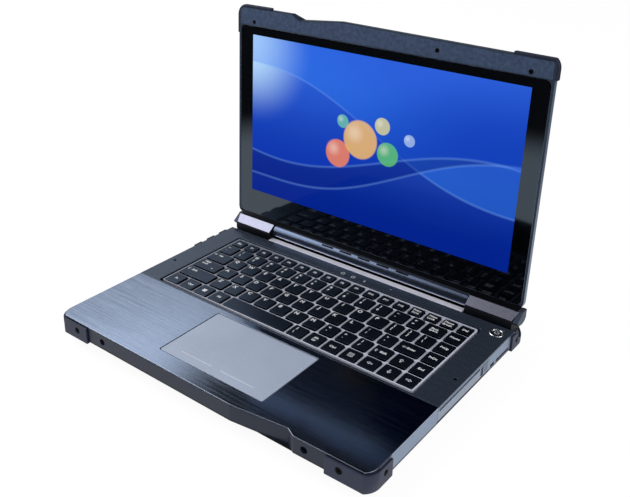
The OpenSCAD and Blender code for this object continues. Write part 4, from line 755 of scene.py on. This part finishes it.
# Each body of keys: its row, and its first and last key there
KEY_BODIES = {
    "function_keys": [(5, 0, 16)], "number_keys": [(4, 0, 12)], "backspace_key": [(4, 13, 13)],
    "upper_letter_keys": [(3, 1, 13)], "home_letter_keys": [(2, 1, 11)], "lower_letter_keys": [(1, 1, 10)],
    "space_bar": [(0, 4, 4)], "enter_key": [(2, 12, 12)], "modifier_keys": [(0, 0, 3), (0, 5, 8)],
    "shift_keys": [(1, 0, 0), (1, 11, 11)], "tab_and_caps_keys": [(3, 0, 0), (2, 0, 0)],
    "arrow_keys": [(1, 12, 12), (0, 9, 11)],
    "navigation_keys": [(4, 14, 14), (3, 14, 14), (2, 13, 13), (1, 13, 13)],
}


def cap_boxes(row, first, last):
    """Left, front, right and rear of those caps in mm: running sums of the widths, less half the gap."""
    edges = (np.concatenate([[0.0], np.cumsum(KEY_WIDTHS[row])]) - ROW_UNITS / 2) * key_unit
    front = keyboard_low.y + FRAME_RIM + sum(ROW_DEPTHS[:row])
    chosen = np.arange(first, last + 1)
    y = np.ones(len(chosen))
    half_x, half_y = KEY_GAP / 2, ROW_GAP / 2
    return np.stack([edges[chosen] + half_x, y * (front + half_y), edges[chosen + 1] - half_x,
                     y * (front + ROW_DEPTHS[row] - half_y)], axis=1)


for name, spans in KEY_BODIES.items():
    boxes = np.concatenate([cap_boxes(*span) for span in spans])
    low, high = (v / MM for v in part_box(name))
    gap = max(abs(boxes[:, 0].min() - low.x), abs(boxes[:, 3].max() - high.y))
    print(f"{name}: {len(boxes)} caps, {gap:.3f} mm from the frame's solids")

# %% Keycaps
CORNER_STEPS = 4
# The wall's profile: how far it has leaned in, and how high above the table it is, in mm
CAP_PROFILE = np.array([(0.0, CAP_BOTTOM), (0.05, CAP_TOP - 0.9), (0.12, CAP_TOP - 0.28),
                        (0.24, CAP_TOP - 0.07), (0.46, CAP_TOP), (0.8, CAP_TOP)])
# The walls' colour is painted shade; the tops' colour is the caps' own
CAP_WALL_SHADE = (0.004, 0.005, 0.008)
CAP_TOP_COLOUR = (0.070, 0.100, 0.160)


def cap_surface(boxes):
    """Points and faces of rounded trays. Round each corner the outline is the corner's centre plus
    (corner radius minus the profile's lean) times (cos, sin) of the turn; every profile step repeats it."""
    quarter = np.linspace(0.0, np.pi / 2, CORNER_STEPS + 1)
    turn = np.concatenate([quarter + k * np.pi / 2 for k in range(4)])
    side = np.repeat([(1, 1), (-1, 1), (-1, -1), (1, -1)], CORNER_STEPS + 1, axis=0)
    middle = (boxes[:, 0:2] + boxes[:, 2:4]) / 2
    reach = (boxes[:, 2:4] - boxes[:, 0:2]) / 2 - CAP_CORNER
    around = np.stack([np.cos(turn), np.sin(turn)], axis=1)
    radius = CAP_CORNER - CAP_PROFILE[:, 0]
    flat = (middle[:, None, None, :] + reach[:, None, None, :] * side[None, None]
            + radius[None, :, None, None] * around[None, None])
    height = np.broadcast_to(CAP_PROFILE[None, :, None, 1:2], flat.shape[:3] + (1,))
    points = np.concatenate([flat, height], axis=3).reshape(-1, 3) * MM

    count, rings = len(turn), len(CAP_PROFILE)
    ring, step = np.meshgrid(np.arange(rings - 1), np.arange(count), indexing="ij")
    after = (step + 1) % count
    wall = np.stack([ring * count + step, ring * count + after, (ring + 1) * count + after,
                     (ring + 1) * count + step], axis=-1).reshape(-1, 4)
    starts = np.arange(len(boxes)) * count * rings
    faces = (starts[:, None, None] + wall[None]).reshape(-1, 4).tolist()
    for start in starts.tolist():
        faces.append(list(range(start + (rings - 1) * count, start + rings * count)))
        faces.append(list(range(start + count - 1, start - 1, -1)))
    return points, faces


cap_plastic, tree, shader = new_finish("cap_plastic", Metallic=1.0)
height = split_axes(tree, object_place(tree))[2]
on_top = ramp_between(tree, height, (CAP_TOP - 0.6) * MM, (CAP_TOP - 0.1) * MM)
cap_colour = blend_colours(tree, on_top, (*CAP_WALL_SHADE, 1), (*CAP_TOP_COLOUR, 1))
drift_and_grain(tree, shader, cap_colour, 0.1, 25.0, 2400.0, (0.3, 0.38), 0.1)
for name, spans in KEY_BODIES.items():
    points, faces = cap_surface(np.concatenate([cap_boxes(*span) for span in spans]))
    make_piece(name + "_caps", points, faces, cap_plastic, name, replaces=(name,), smooth_below=24)
print("bodies of keycaps:", len(KEY_BODIES))

# %% [markdown]
# ## Lettering on the keys
# Keys carry plain letters and numbers, as every keyboard does. Blender's text object
# draws them; it is turned into a mesh before it gets its place, so that its points can
# be moved with arrays. The letters are solids a few hundredths of a millimetre thick,
# and all that belong to one body of keys are joined and ride with it. Arrows and the
# two menu marks aren't in the font, so they are polygons given a thickness.

# %% Lettering helpers
PRINT_THICK = 0.02
BOLDNESS = 0.034  # how far the strokes are thickened, as a share of the letters' size
_outlines = {}


def text_solid(text, size):
    """Points in mm and faces of the text as a thin solid, centred on the origin and standing on z = 0."""
    if (text, size) not in _outlines:
        curve = bpy.data.curves.new("lettering", "FONT")
        curve.body = text
        curve.size = size
        curve.extrude = PRINT_THICK / 2
        curve.offset = BOLDNESS * size
        curve.resolution_u = 2
        curve.align_x = "CENTER"
        curve.align_y = "CENTER"
        drawn = bpy.data.objects.new("lettering", curve)
        bpy.context.scene.collection.objects.link(drawn)
        bpy.context.view_layer.update()
        mesh = bpy.data.meshes.new_from_object(drawn)
        points = np.zeros(len(mesh.vertices) * 3)
        mesh.vertices.foreach_get("co", points)
        points = points.reshape(-1, 3)
        points[:, 2] += PRINT_THICK / 2
        middle = (points[:, :2].min(0) + points[:, :2].max(0)) / 2
        points[:, :2] -= middle
        _outlines[(text, size)] = (points, [list(p.vertices) for p in mesh.polygons])
        bpy.data.objects.remove(drawn)
        bpy.data.meshes.remove(mesh)
        bpy.data.curves.remove(curve)
    return _outlines[(text, size)]


def flat_solid(outline):
    """Points and faces of a closed outline, given counter-clockwise in mm, with the print's thickness."""
    outline = np.asarray(outline, float)
    count = len(outline)
    points = np.concatenate([np.c_[outline, np.zeros(count)], np.c_[outline, np.full(count, PRINT_THICK)]])
    faces = [list(range(count - 1, -1, -1)), list(range(count, 2 * count))]
    faces += [[i, (i + 1) % count, count + (i + 1) % count, count + i] for i in range(count)]
    return points, faces


def ring_solid(outer, inner):
    """Points and faces of the band between two outlines with the same number of points."""
    outer, inner = np.asarray(outer, float), np.asarray(inner, float)
    count = len(outer)
    levels = [np.c_[line, np.full(count, z)] for z in (0.0, PRINT_THICK) for line in (outer, inner)]
    points = np.concatenate(levels)
    here = np.arange(count)
    after = (here + 1) % count
    low_out, low_in, top_out, top_in = (k * count for k in range(4))

    def band(a, b):
        """The four-sided faces between two of the four rows of points."""
        return np.stack([a + here, a + after, b + after, b + here], axis=1)

    faces = np.concatenate([band(top_out, top_in), band(low_in, low_out), band(low_out, top_out),
                            band(top_in, low_in)])
    return points, faces.tolist()


def square_ring(half_x, half_y, line):
    """The outline of a rectangle drawn with a line of that width."""
    corners = np.array([(-1, -1), (1, -1), (1, 1), (-1, 1)], float)
    return ring_solid(corners * (half_x, half_y), corners * (half_x - line, half_y - line))


def circle(radius, count=28, squareness=0.0):
    """Points round a circle; squareness pushes them towards a rounded square."""
    turn = np.arange(count) * 2 * np.pi / count
    reach = radius * (1 + squareness * np.sin(2 * turn) ** 2)
    return np.stack([np.cos(turn) * reach, np.sin(turn) * reach], axis=1)


# %% Moving and joining solids
def moved(solid, x, y, z=0.0):
    """The same solid, shifted."""
    return solid[0] + (x, y, z), solid[1]


def turned(solid, degrees):
    """The same solid, turned about the upright axis."""
    angle = math.radians(degrees)
    cosine, sine = math.cos(angle), math.sin(angle)
    turn = np.array([(cosine, -sine, 0), (sine, cosine, 0), (0, 0, 1)])
    return solid[0] @ turn.T, solid[1]


def joined(solids):
    """Several solids as one list of points and faces."""
    points, faces, start = [], [], 0
    for some_points, some_faces in solids:
        points.append(some_points)
        faces += [[start + i for i in face] for face in some_faces]
        start += len(some_points)
    return np.concatenate(points), faces


# %% Marks on the keys
# An arrow that points right, and the hole in it: points in mm about the middle of a key
ARROW = [(-2.6, -0.75), (0.1, -0.75), (0.1, -1.9), (2.6, 0.0), (0.1, 1.9), (0.1, 0.75), (-2.6, 0.75)]
ARROW_INSIDE = [(-2.15, -0.35), (0.5, -0.35), (0.5, -1.05), (1.9, 0.0), (0.5, 1.05), (0.5, 0.35),
                (-2.15, 0.35)]
ARROW_TURNS = {"right": 0, "up": 90, "left": 180, "down": 270}
ARROW_WORDS = {"Tab": 0, "Shift": 90, "Enter": 180}
WORD_ARROW = 0.75
# How far in from the left and the rear edge of its cap the middle of a letter or a word stands
LETTER_INSET = (4.3, 4.2)
WORD_INSET = (8.0, 4.9)
LINE_RISE = 0.52
# In mm from a mark's middle: a word and the arrow before it, two signs on one cap, and the lock's dot
WORD_SHIFT, ARROW_SHIFT = 1.8, -5.2
UPPER_SIGN_Y, LOWER_SIGN_Y = 3.4, -2.2
LOCK_DOT_PLACE = (12.5, -6.2)
LOCK_DOT_RADIUS = 0.75
# The menu sign in mm: half its sides and its line, then how many bars it has, how wide and how far apart
MENU_HALF = (2.4, 2.6)
MENU_LINE = 0.45
MENU_BARS = (3, 2.4, 1.2)
BAR_HALF = 0.2
LIST_HALF = 2.1  # half the side of the plain square on the list key
LETTER_SIZE = 5.8
SIGN_SIZE = 4.4
WORD_SIZE = 3.7
SHORT_WORD_SIZE = 3.9
FUNCTION_CAP_DEPTH = 12
WIDE_CAP = 20
TWO_LINES = {"Caps": ("Caps", "Lock"), "Back": ("Back", "space"), "PrtSc": ("Print", "Scrn"),
             "Num": ("Num", "Lock"), "Pause": ("Pause", "Break"), "AltGr": ("Alt", "Gr")}


def bars(count, width, pitch):
    """A few level bars under each other."""
    bar = flat_solid([(-width / 2, -BAR_HALF), (width / 2, -BAR_HALF),
                      (width / 2, BAR_HALF), (-width / 2, BAR_HALF)])
    return [moved(bar, 0, (i - (count - 1) / 2) * pitch) for i in range(count)]


def word_marks(word, size):
    """A word in one or two lines about the origin, some with an arrow before them."""
    if word in TWO_LINES:
        upper, lower = TWO_LINES[word]
        return [moved(text_solid(upper, size), 0, LINE_RISE * size),
                moved(text_solid(lower, size), 0, -LINE_RISE * size)]
    if word not in ARROW_WORDS:
        return [text_solid(word, size)]
    small_arrow = ring_solid(np.array(ARROW) * WORD_ARROW, np.array(ARROW_INSIDE) * WORD_ARROW)
    arrow = turned(small_arrow, ARROW_WORDS[word])
    return [moved(text_solid(word, size), WORD_SHIFT, 0), moved(arrow, ARROW_SHIFT, 0)]


def legend(word, box):
    """The solids of one key's lettering, placed on its cap. Letters and the words on wide keys stand high on
    the left, pairs of signs one over the other, other words in the middle."""
    left, front, right, rear = box
    x, y = (left + right) / 2, (front + rear) / 2
    if word == "blank":
        return []
    if word in ARROW_TURNS:
        marks = [turned(ring_solid(ARROW, ARROW_INSIDE), ARROW_TURNS[word])]
    elif word == "menu":
        marks = [square_ring(*MENU_HALF, MENU_LINE)] + bars(*MENU_BARS)
    elif word == "list":
        marks = [flat_solid(np.array([(-1, -1), (1, -1), (1, 1), (-1, 1)]) * LIST_HALF)]
    elif len(word) == 1:
        marks = [text_solid(word, LETTER_SIZE)]
        x, y = left + LETTER_INSET[0], rear - LETTER_INSET[1]
    elif len(word) == 2 and not word.isalnum():
        upper, lower = text_solid(word[0], SIGN_SIZE), text_solid(word[1], SIGN_SIZE)
        marks = [moved(upper, 0, UPPER_SIGN_Y), moved(lower, 0, LOWER_SIGN_Y)]
        x = left + LETTER_INSET[0]
    else:
        marks = word_marks(word, WORD_SIZE if rear - front > FUNCTION_CAP_DEPTH else SHORT_WORD_SIZE)
        if right - left > WIDE_CAP and word != "Enter":
            x, y = left + WORD_INSET[0], rear - WORD_INSET[1]
        if word == "Caps":
            marks.append(moved(flat_solid(circle(LOCK_DOT_RADIUS, 14)), *LOCK_DOT_PLACE))
    return [moved(mark, x, y, CAP_TOP) for mark in marks]


# %% Key lettering
key_print = grained_finish("key_print", (0.80, 0.82, 0.86), 0.5, drift=0.03, depth=0.03)
for name, spans in KEY_BODIES.items():
    marks = []
    for row, first, last in spans:
        for word, box in zip(KEY_WORDS[row].split(" ")[first:last + 1], cap_boxes(row, first, last)):
            marks += legend(word, box)
    if marks:
        points, faces = joined(marks)
        make_piece(name + "_lettering", points * MM, faces, key_print, name)
print("different words and signs:", len(_outlines))

# %% [markdown]
# ## The keyboard's frame
# The bright lines between the keys are one thin punched plate of satin aluminium. Its
# colour is dimmed in two ways that real metal doesn't know: it gets darker towards the
# left, as if the light came from the right, and mirror rays find it nearly black, so
# that the glass above doesn't show it. One mask carries both.

# %% Key frame
# The x in metres between which the frame turns dark, how bright it still is at the left and to mirror
# rays, and the shade it goes towards
FRAME_FADE = (-0.13, 0.0)
FRAME_LEFT_SHARE = 0.42
FRAME_MIRROR_SHARE = 0.12
FRAME_SHADE = (0.03, 0.04, 0.06)
frame_metal = grained_finish("frame_metal", (0.78, 0.81, 0.95), 0.34, drift=0.05, Metallic=0.2, depth=0.05)
tree, shader = shader_of(frame_metal)
place_x = split_axes(tree, object_place(tree))[0]
from_left = ramp_between(tree, place_x, *FRAME_FADE, FRAME_LEFT_SHARE, 1.0)
for_ray = calc(tree, "MULTIPLY_ADD", sees_directly(tree, "Is Glossy Ray"), FRAME_MIRROR_SHARE - 1.0, 1.0)
bright = calc(tree, "MULTIPLY", from_left, for_ray)
plain = shader.inputs["Base Color"].links[0].from_socket
tree.links.new(blend_colours(tree, bright, (*FRAME_SHADE, 1), plain), shader.inputs["Base Color"])
dress(frame_metal, "keyboard_frame")
print("key frame fades over", [round(x / MM) for x in FRAME_FADE], "mm")

# %% [markdown]
# ## The touchpad
# Glass-like satin film over a pale metal: smooth, and slightly blue. Two fine printed
# lines near its front edge stand for the left and the right button.

# %% Touchpad
pad_satin = grained_finish("pad_satin", (0.51, 0.585, 0.75), 0.38, drift=0.04, grains=2600.0, depth=0.06,
                           Metallic=0.25)
dress(pad_satin, "touchpad")
# In mm: how wide the lines are, the y they lie at, and the x where each begins and ends
PAD_LINE_WIDTH = 0.7
PAD_LINE_Y = -97.7
PAD_LINE_ENDS = ((-38.7, -3.8), (5.6, 41.3))
pad_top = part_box("touchpad")[1].z / MM


def line_solid(x0, x1, y, width):
    """A thin straight line along x."""
    return flat_solid([(x0, y - width / 2), (x1, y - width / 2), (x1, y + width / 2), (x0, y + width / 2)])


pad_lines = [line_solid(*ends, PAD_LINE_Y, PAD_LINE_WIDTH) for ends in PAD_LINE_ENDS]
points, faces = joined([moved(line, 0, 0, pad_top) for line in pad_lines])
pad_print = grained_finish("pad_print", (0.72, 0.74, 0.82), 0.4, drift=0.03, depth=0.02)
make_piece("touchpad_lines", points * MM, faces, pad_print, "touchpad")
print("touchpad lines:", len(pad_lines))

# %% [markdown]
# ## Marks on the deck
# Behind the keyboard three small signs show power, drive and charge. A ring is the band
# between two circles, the drive sign a small barrel shape, and the charge sign a bolt.
# The power button is a dark cap in a polished ring, with the usual ring and stroke.

# %% Deck marks
# Places and sizes are in mm; the signs stand in line with the status lights
DECK_TOP = 26.0
POWER_SIGN_X, DRIVE_SIGN_X, CHARGE_SIGN_X, DOT_X = -10.7, 1.3, 14.4, 42.6
DOT_BEHIND = 2.5
DRIVE_SQUARENESS = 0.16
LIGHT_INSET = 1.3
lights_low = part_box("status_lights")[0] / MM
light_y = lights_low.y + LIGHT_INSET
BOLT = np.array([(-0.2, -1.7), (1.0, 0.25), (0.25, 0.25), (0.8, 1.7), (-0.9, -0.2), (-0.1, -0.2)])
power_sign = moved(ring_solid(circle(2.1), circle(1.5)), POWER_SIGN_X, light_y, DECK_TOP)
drive_shape = [circle(radius, squareness=DRIVE_SQUARENESS) for radius in (2.0, 1.4)]
drive_sign = moved(ring_solid(*drive_shape), DRIVE_SIGN_X, light_y, DECK_TOP)
charge_sign = moved(flat_solid(BOLT * 1.35), CHARGE_SIGN_X, light_y, DECK_TOP)
dot_sign = moved(flat_solid(circle(0.55, 16)), DOT_X, light_y + DOT_BEHIND, DECK_TOP)
deck_print = grained_finish("deck_print", (0.72, 0.76, 0.84), 0.4, drift=0.03, depth=0.02)
points, faces = joined([power_sign, drive_sign, charge_sign, dot_sign])
make_piece("deck_marks", points * MM, faces, deck_print, "base")
print("signs stand on y =", round(light_y, 1), "mm")

# %% Status lights and power button
light_pipe = grained_finish("light_pipe", (0.020, 0.023, 0.031), 0.3, drift=0.05, depth=0.05)
dress(light_pipe, "status_lights")
chrome = grained_finish("polished_ring", (0.78, 0.80, 0.84), 0.16, drift=0.03, Metallic=1.0, depth=0.02)
cap_dark = grained_finish("power_cap", (0.020, 0.020, 0.030), 0.35, drift=0.05, depth=0.05)
dress(cap_dark, "power_button")

BUTTON_FLANGE = 1.2
RING_STEPS = 48
RING_RISE = 0.8
power_low, power_high = (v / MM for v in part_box("power_button"))
power_middle = (power_low + power_high) / 2


def rounded_ring(low, high, inner, rise):
    """A ring turned about its middle: straight walls, closed above by half an ellipse of that rise."""
    outer = (high.x - low.x) / 2
    over = np.linspace(0.0, np.pi, 9)
    across = (outer + inner) / 2 + (outer - inner) / 2 * np.cos(over)
    top = np.c_[across, high.z - rise + rise * np.sin(over)]
    profile = np.concatenate([[(outer, low.z)], top, [(inner, low.z)]])
    turn = np.arange(RING_STEPS) * 2 * np.pi / RING_STEPS
    points = np.stack([(low.x + high.x) / 2 + np.outer(np.cos(turn), profile[:, 0]),
                       (low.y + high.y) / 2 + np.outer(np.sin(turn), profile[:, 0]),
                       np.outer(np.ones(RING_STEPS), profile[:, 1])], axis=-1).reshape(-1, 3)
    count = len(profile)
    here, level = np.meshgrid(np.arange(RING_STEPS), np.arange(count), indexing="ij")
    after, above = (here + 1) % RING_STEPS, (level + 1) % count
    faces = np.stack([here * count + level, after * count + level, after * count + above,
                      here * count + above], axis=-1).reshape(-1, 4)
    return points, faces.tolist()


ring_low, ring_high = (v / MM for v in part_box("power_ring"))
hole_radius = (power_high.x - power_low.x) / 2 - BUTTON_FLANGE
points, faces = rounded_ring(ring_low, ring_high, hole_radius, RING_RISE)
make_piece("power_bezel", points * MM, faces, chrome, "base", replaces=("power_ring",), smooth_below=60)

# The power sign: an arc that is open behind, between two radii in mm, and a stroke in its gap
ARC_START, ARC_END, ARC_POINTS = 125, 415, 24
ARC_OUTER, ARC_INNER = 2.1, 1.65
STROKE_HALF, STROKE_WIDTH, STROKE_BEHIND = 0.95, 0.45, 1.7
arc_turn = np.radians(np.linspace(ARC_START, ARC_END, ARC_POINTS))
arc_out = np.stack([np.cos(arc_turn), np.sin(arc_turn)], axis=1)
arc = flat_solid(np.concatenate([arc_out * ARC_OUTER, arc_out[::-1] * ARC_INNER]))
stroke = turned(line_solid(-STROKE_HALF, STROKE_HALF, 0, STROKE_WIDTH), 90)
points, faces = joined([moved(arc, power_middle.x, power_middle.y, power_high.z),
                        moved(stroke, power_middle.x, power_middle.y + STROKE_BEHIND, power_high.z)])
make_piece("power_sign", points * MM, faces, deck_print, "power_button")
print("power button's middle in mm:", [round(v, 1) for v in power_middle])

# %% [markdown]
# ## The lit picture on the screen
# A lit screen gives light of its own, so the picture is the glass's emission colour, and
# black glass lies round it. The picture is drawn with arithmetic on two coordinates,
# u across and v up the screen: a blue sky of gradients, three flowing ribbons whose
# edges are sine curves, and a few soft discs. Two things aren't as on a real screen:
# other surfaces get only a hundredth of its light, and the glass is less glossy over the
# picture than round it.

# %% Screen picture
SCREEN_WIDE = 293.8 * MM
SCREEN_HIGH = 165.2 * MM
# The picture's lower edge above the hinge's axis, along the lid
SCREEN_Z = 43.2 * MM
LID_LEAN = math.radians(1.85)
HINGE = Vector((0, 115.25, 28.2)) * MM
ASPECT = SCREEN_WIDE / SCREEN_HIGH
# Each ribbon: its edge's level and slope, the swing, turns and phase of the sine, its tint and its share
RIBBONS = (
    (0.78, -0.42, 0.10, 0.8, 0.10, (0.03, 0.20, 0.90, 1), 0.36),
    (0.10, 0.42, 0.08, 0.9, 0.45, (0.0, 0.013, 0.24, 1), 0.58),
    (0.36, 0.10, 0.12, 0.7, 0.62, (0.001, 0.055, 0.66, 1), 0.36),
)
# Each disc: its middle in u and v, its radius as a part of the screen's height, its tint and its share
DISCS = (
    (0.37, 0.40, 0.085, (0.90, 0.25, 0.05, 1), 0.75), (0.455, 0.515, 0.115, (0.95, 0.55, 0.06, 1), 0.70),
    (0.56, 0.47, 0.07, (0.12, 0.55, 0.12, 1), 0.75), (0.535, 0.625, 0.05, (0.85, 0.80, 0.20, 1), 0.6),
    (0.385, 0.60, 0.04, (0.20, 0.65, 0.35, 1), 0.6), (0.635, 0.58, 0.035, (0.55, 0.75, 1.0, 1), 0.5),
)


def build_screen_picture():
    """A group with the picture's colour at u, v."""
    group, given, out = new_group(
        "screen_picture", [("U", "NodeSocketFloat", 0.5), ("V", "NodeSocketFloat", 0.5)],
        [("Color", "NodeSocketColor")])
    u, v = given.outputs[0], given.outputs[1]

    def smooth(value, low, high):
        """0 to 1 as the value goes from low to high, which may be the lower one."""
        return ramp_between(group, value, low, high)

    def distance(cx, cy):
        """From u, v to a point, in screen heights: the root of dx squared plus dy squared."""
        dx = calc(group, "MULTIPLY", calc(group, "SUBTRACT", u, cx), ASPECT)
        dy = calc(group, "SUBTRACT", v, cy)
        squares = [calc(group, "MULTIPLY", part, part) for part in (dx, dy)]
        return calc(group, "SQRT", calc(group, "ADD", *squares))

    def wave(level, slope, swing, turns, phase):
        """v minus the ribbon's edge: level + slope u + swing sin(2 pi (turns u + phase))."""
        angle = calc(group, "MULTIPLY_ADD", u, 2 * math.pi * turns, 2 * math.pi * phase)
        straight = calc(group, "MULTIPLY_ADD", u, slope, level)
        edge = calc(group, "MULTIPLY_ADD", calc(group, "SINE", angle), swing, straight)
        return calc(group, "SUBTRACT", v, edge)

    across = smooth(calc(group, "MULTIPLY_ADD", v, 0.85, calc(group, "MULTIPLY", u, -0.05)), 0.0, 0.85)
    colour = blend_colours(group, across, (0.0005, 0.016, 0.26, 1), (0.025, 0.115, 0.70, 1))
    glow = smooth(distance(-0.02, 0.93), 0.50, 0.0)
    colour = blend_colours(group, glow, colour, (0.50, 0.76, 1.0, 1))

    for level, slope, swing, turns, phase, tint, most in RIBBONS:
        over = wave(level, slope, swing, turns, phase)
        inside = calc(group, "MULTIPLY", smooth(over, -0.006, 0.006), smooth(over, 0.55, 0.0))
        colour = blend_colours(group, calc(group, "MULTIPLY", inside, most), colour, tint)
        rim = calc(group, "MULTIPLY", smooth(calc(group, "ABSOLUTE", over), 0.012, 0.0), 0.22)
        colour = blend_colours(group, rim, colour, (0.20, 0.45, 1.0, 1))

    for cx, cy, radius, tint, most in DISCS:
        away = distance(cx, cy)
        body = calc(group, "MULTIPLY", smooth(away, radius * 1.04, radius * 0.93), most)
        colour = blend_colours(group, body, colour, tint)
        from_shine = distance(cx - radius * 0.2, cy + radius * 0.3)
        shine = calc(group, "MULTIPLY", smooth(from_shine, radius * 0.7, 0.0), 0.3)
        colour = blend_colours(group, shine, colour, (1.0, 0.95, 0.85, 1))
    group.links.new(colour, out.inputs[0])
    return group


# %% Screen coordinates
def screen_coordinates(tree):
    """u and v from Object coordinates: turned back by the lid's lean about the hinge, then scaled."""
    from_hinge = add_node(tree, "ShaderNodeVectorMath", {0: object_place(tree), 1: HINGE},
                          operation="SUBTRACT")
    upright = add_node(tree, "ShaderNodeVectorRotate", {"Vector": from_hinge.outputs[0], "Angle": LID_LEAN},
                       rotation_type="X_AXIS")
    parts = split_axes(tree, upright.outputs[0])
    u = calc(tree, "MULTIPLY_ADD", parts[0], 1 / SCREEN_WIDE, 0.5)
    v = calc(tree, "MULTIPLY_ADD", parts[2], 1 / SCREEN_HIGH, -SCREEN_Z / SCREEN_HIGH)
    return u, v


def inside_frame(tree, u, v):
    """1 where both u and v lie between 0 and 1."""
    mask = 1.0
    for value in (u, v):
        from_middle = calc(tree, "ABSOLUTE", calc(tree, "SUBTRACT", value, 0.5))
        mask = calc(tree, "MULTIPLY", calc(tree, "LESS_THAN", from_middle, 0.5), mask)
    return mask


# %% Screen glass
# How much of the picture's light reaches other surfaces, and the specular level round and on the picture
GLOW_ON_OTHERS = 0.012
GLASS_GLOSS, PICTURE_GLOSS = 0.95, 0.03
screen_glass, tree, shader = new_finish("screen_glass", Roughness=0.06, Emission_Strength=1.0,
                                        Specular_Tint=(0.62, 0.80, 1.0, 1))
u, v = screen_coordinates(tree)
picture = use_group(tree, build_screen_picture(), U=u, V=v)
seen = calc(tree, "MULTIPLY_ADD", sees_directly(tree, "Is Camera Ray", "Is Transmission Ray"),
            1.0 - GLOW_ON_OTHERS, GLOW_ON_OTHERS)
on_picture = inside_frame(tree, u, v)
shine = calc(tree, "MULTIPLY", on_picture, seen)
gloss = calc(tree, "MULTIPLY_ADD", on_picture, PICTURE_GLOSS - GLASS_GLOSS, GLASS_GLOSS)
tree.links.new(gloss, shader.inputs["Specular IOR Level"])
lit = blend_colours(tree, shine, (0, 0, 0, 1), picture.outputs[0])
tree.links.new(lit, shader.inputs["Emission Color"])
tone = use_group(tree, TONE_DRIFT, Color=(0.001, 0.0012, 0.002, 1), Amount=0.2, Patches_per_m=12.0)
tree.links.new(tone.outputs["Color"], shader.inputs["Base Color"])
dress(screen_glass, "screen_glass")
panel_film = grained_finish("panel_film", (0.30, 0.31, 0.33), 0.4, drift=0.05)
dress(panel_film, "lcd_panel")
print("screen picture:", len(picture.node_tree.nodes), "nodes")
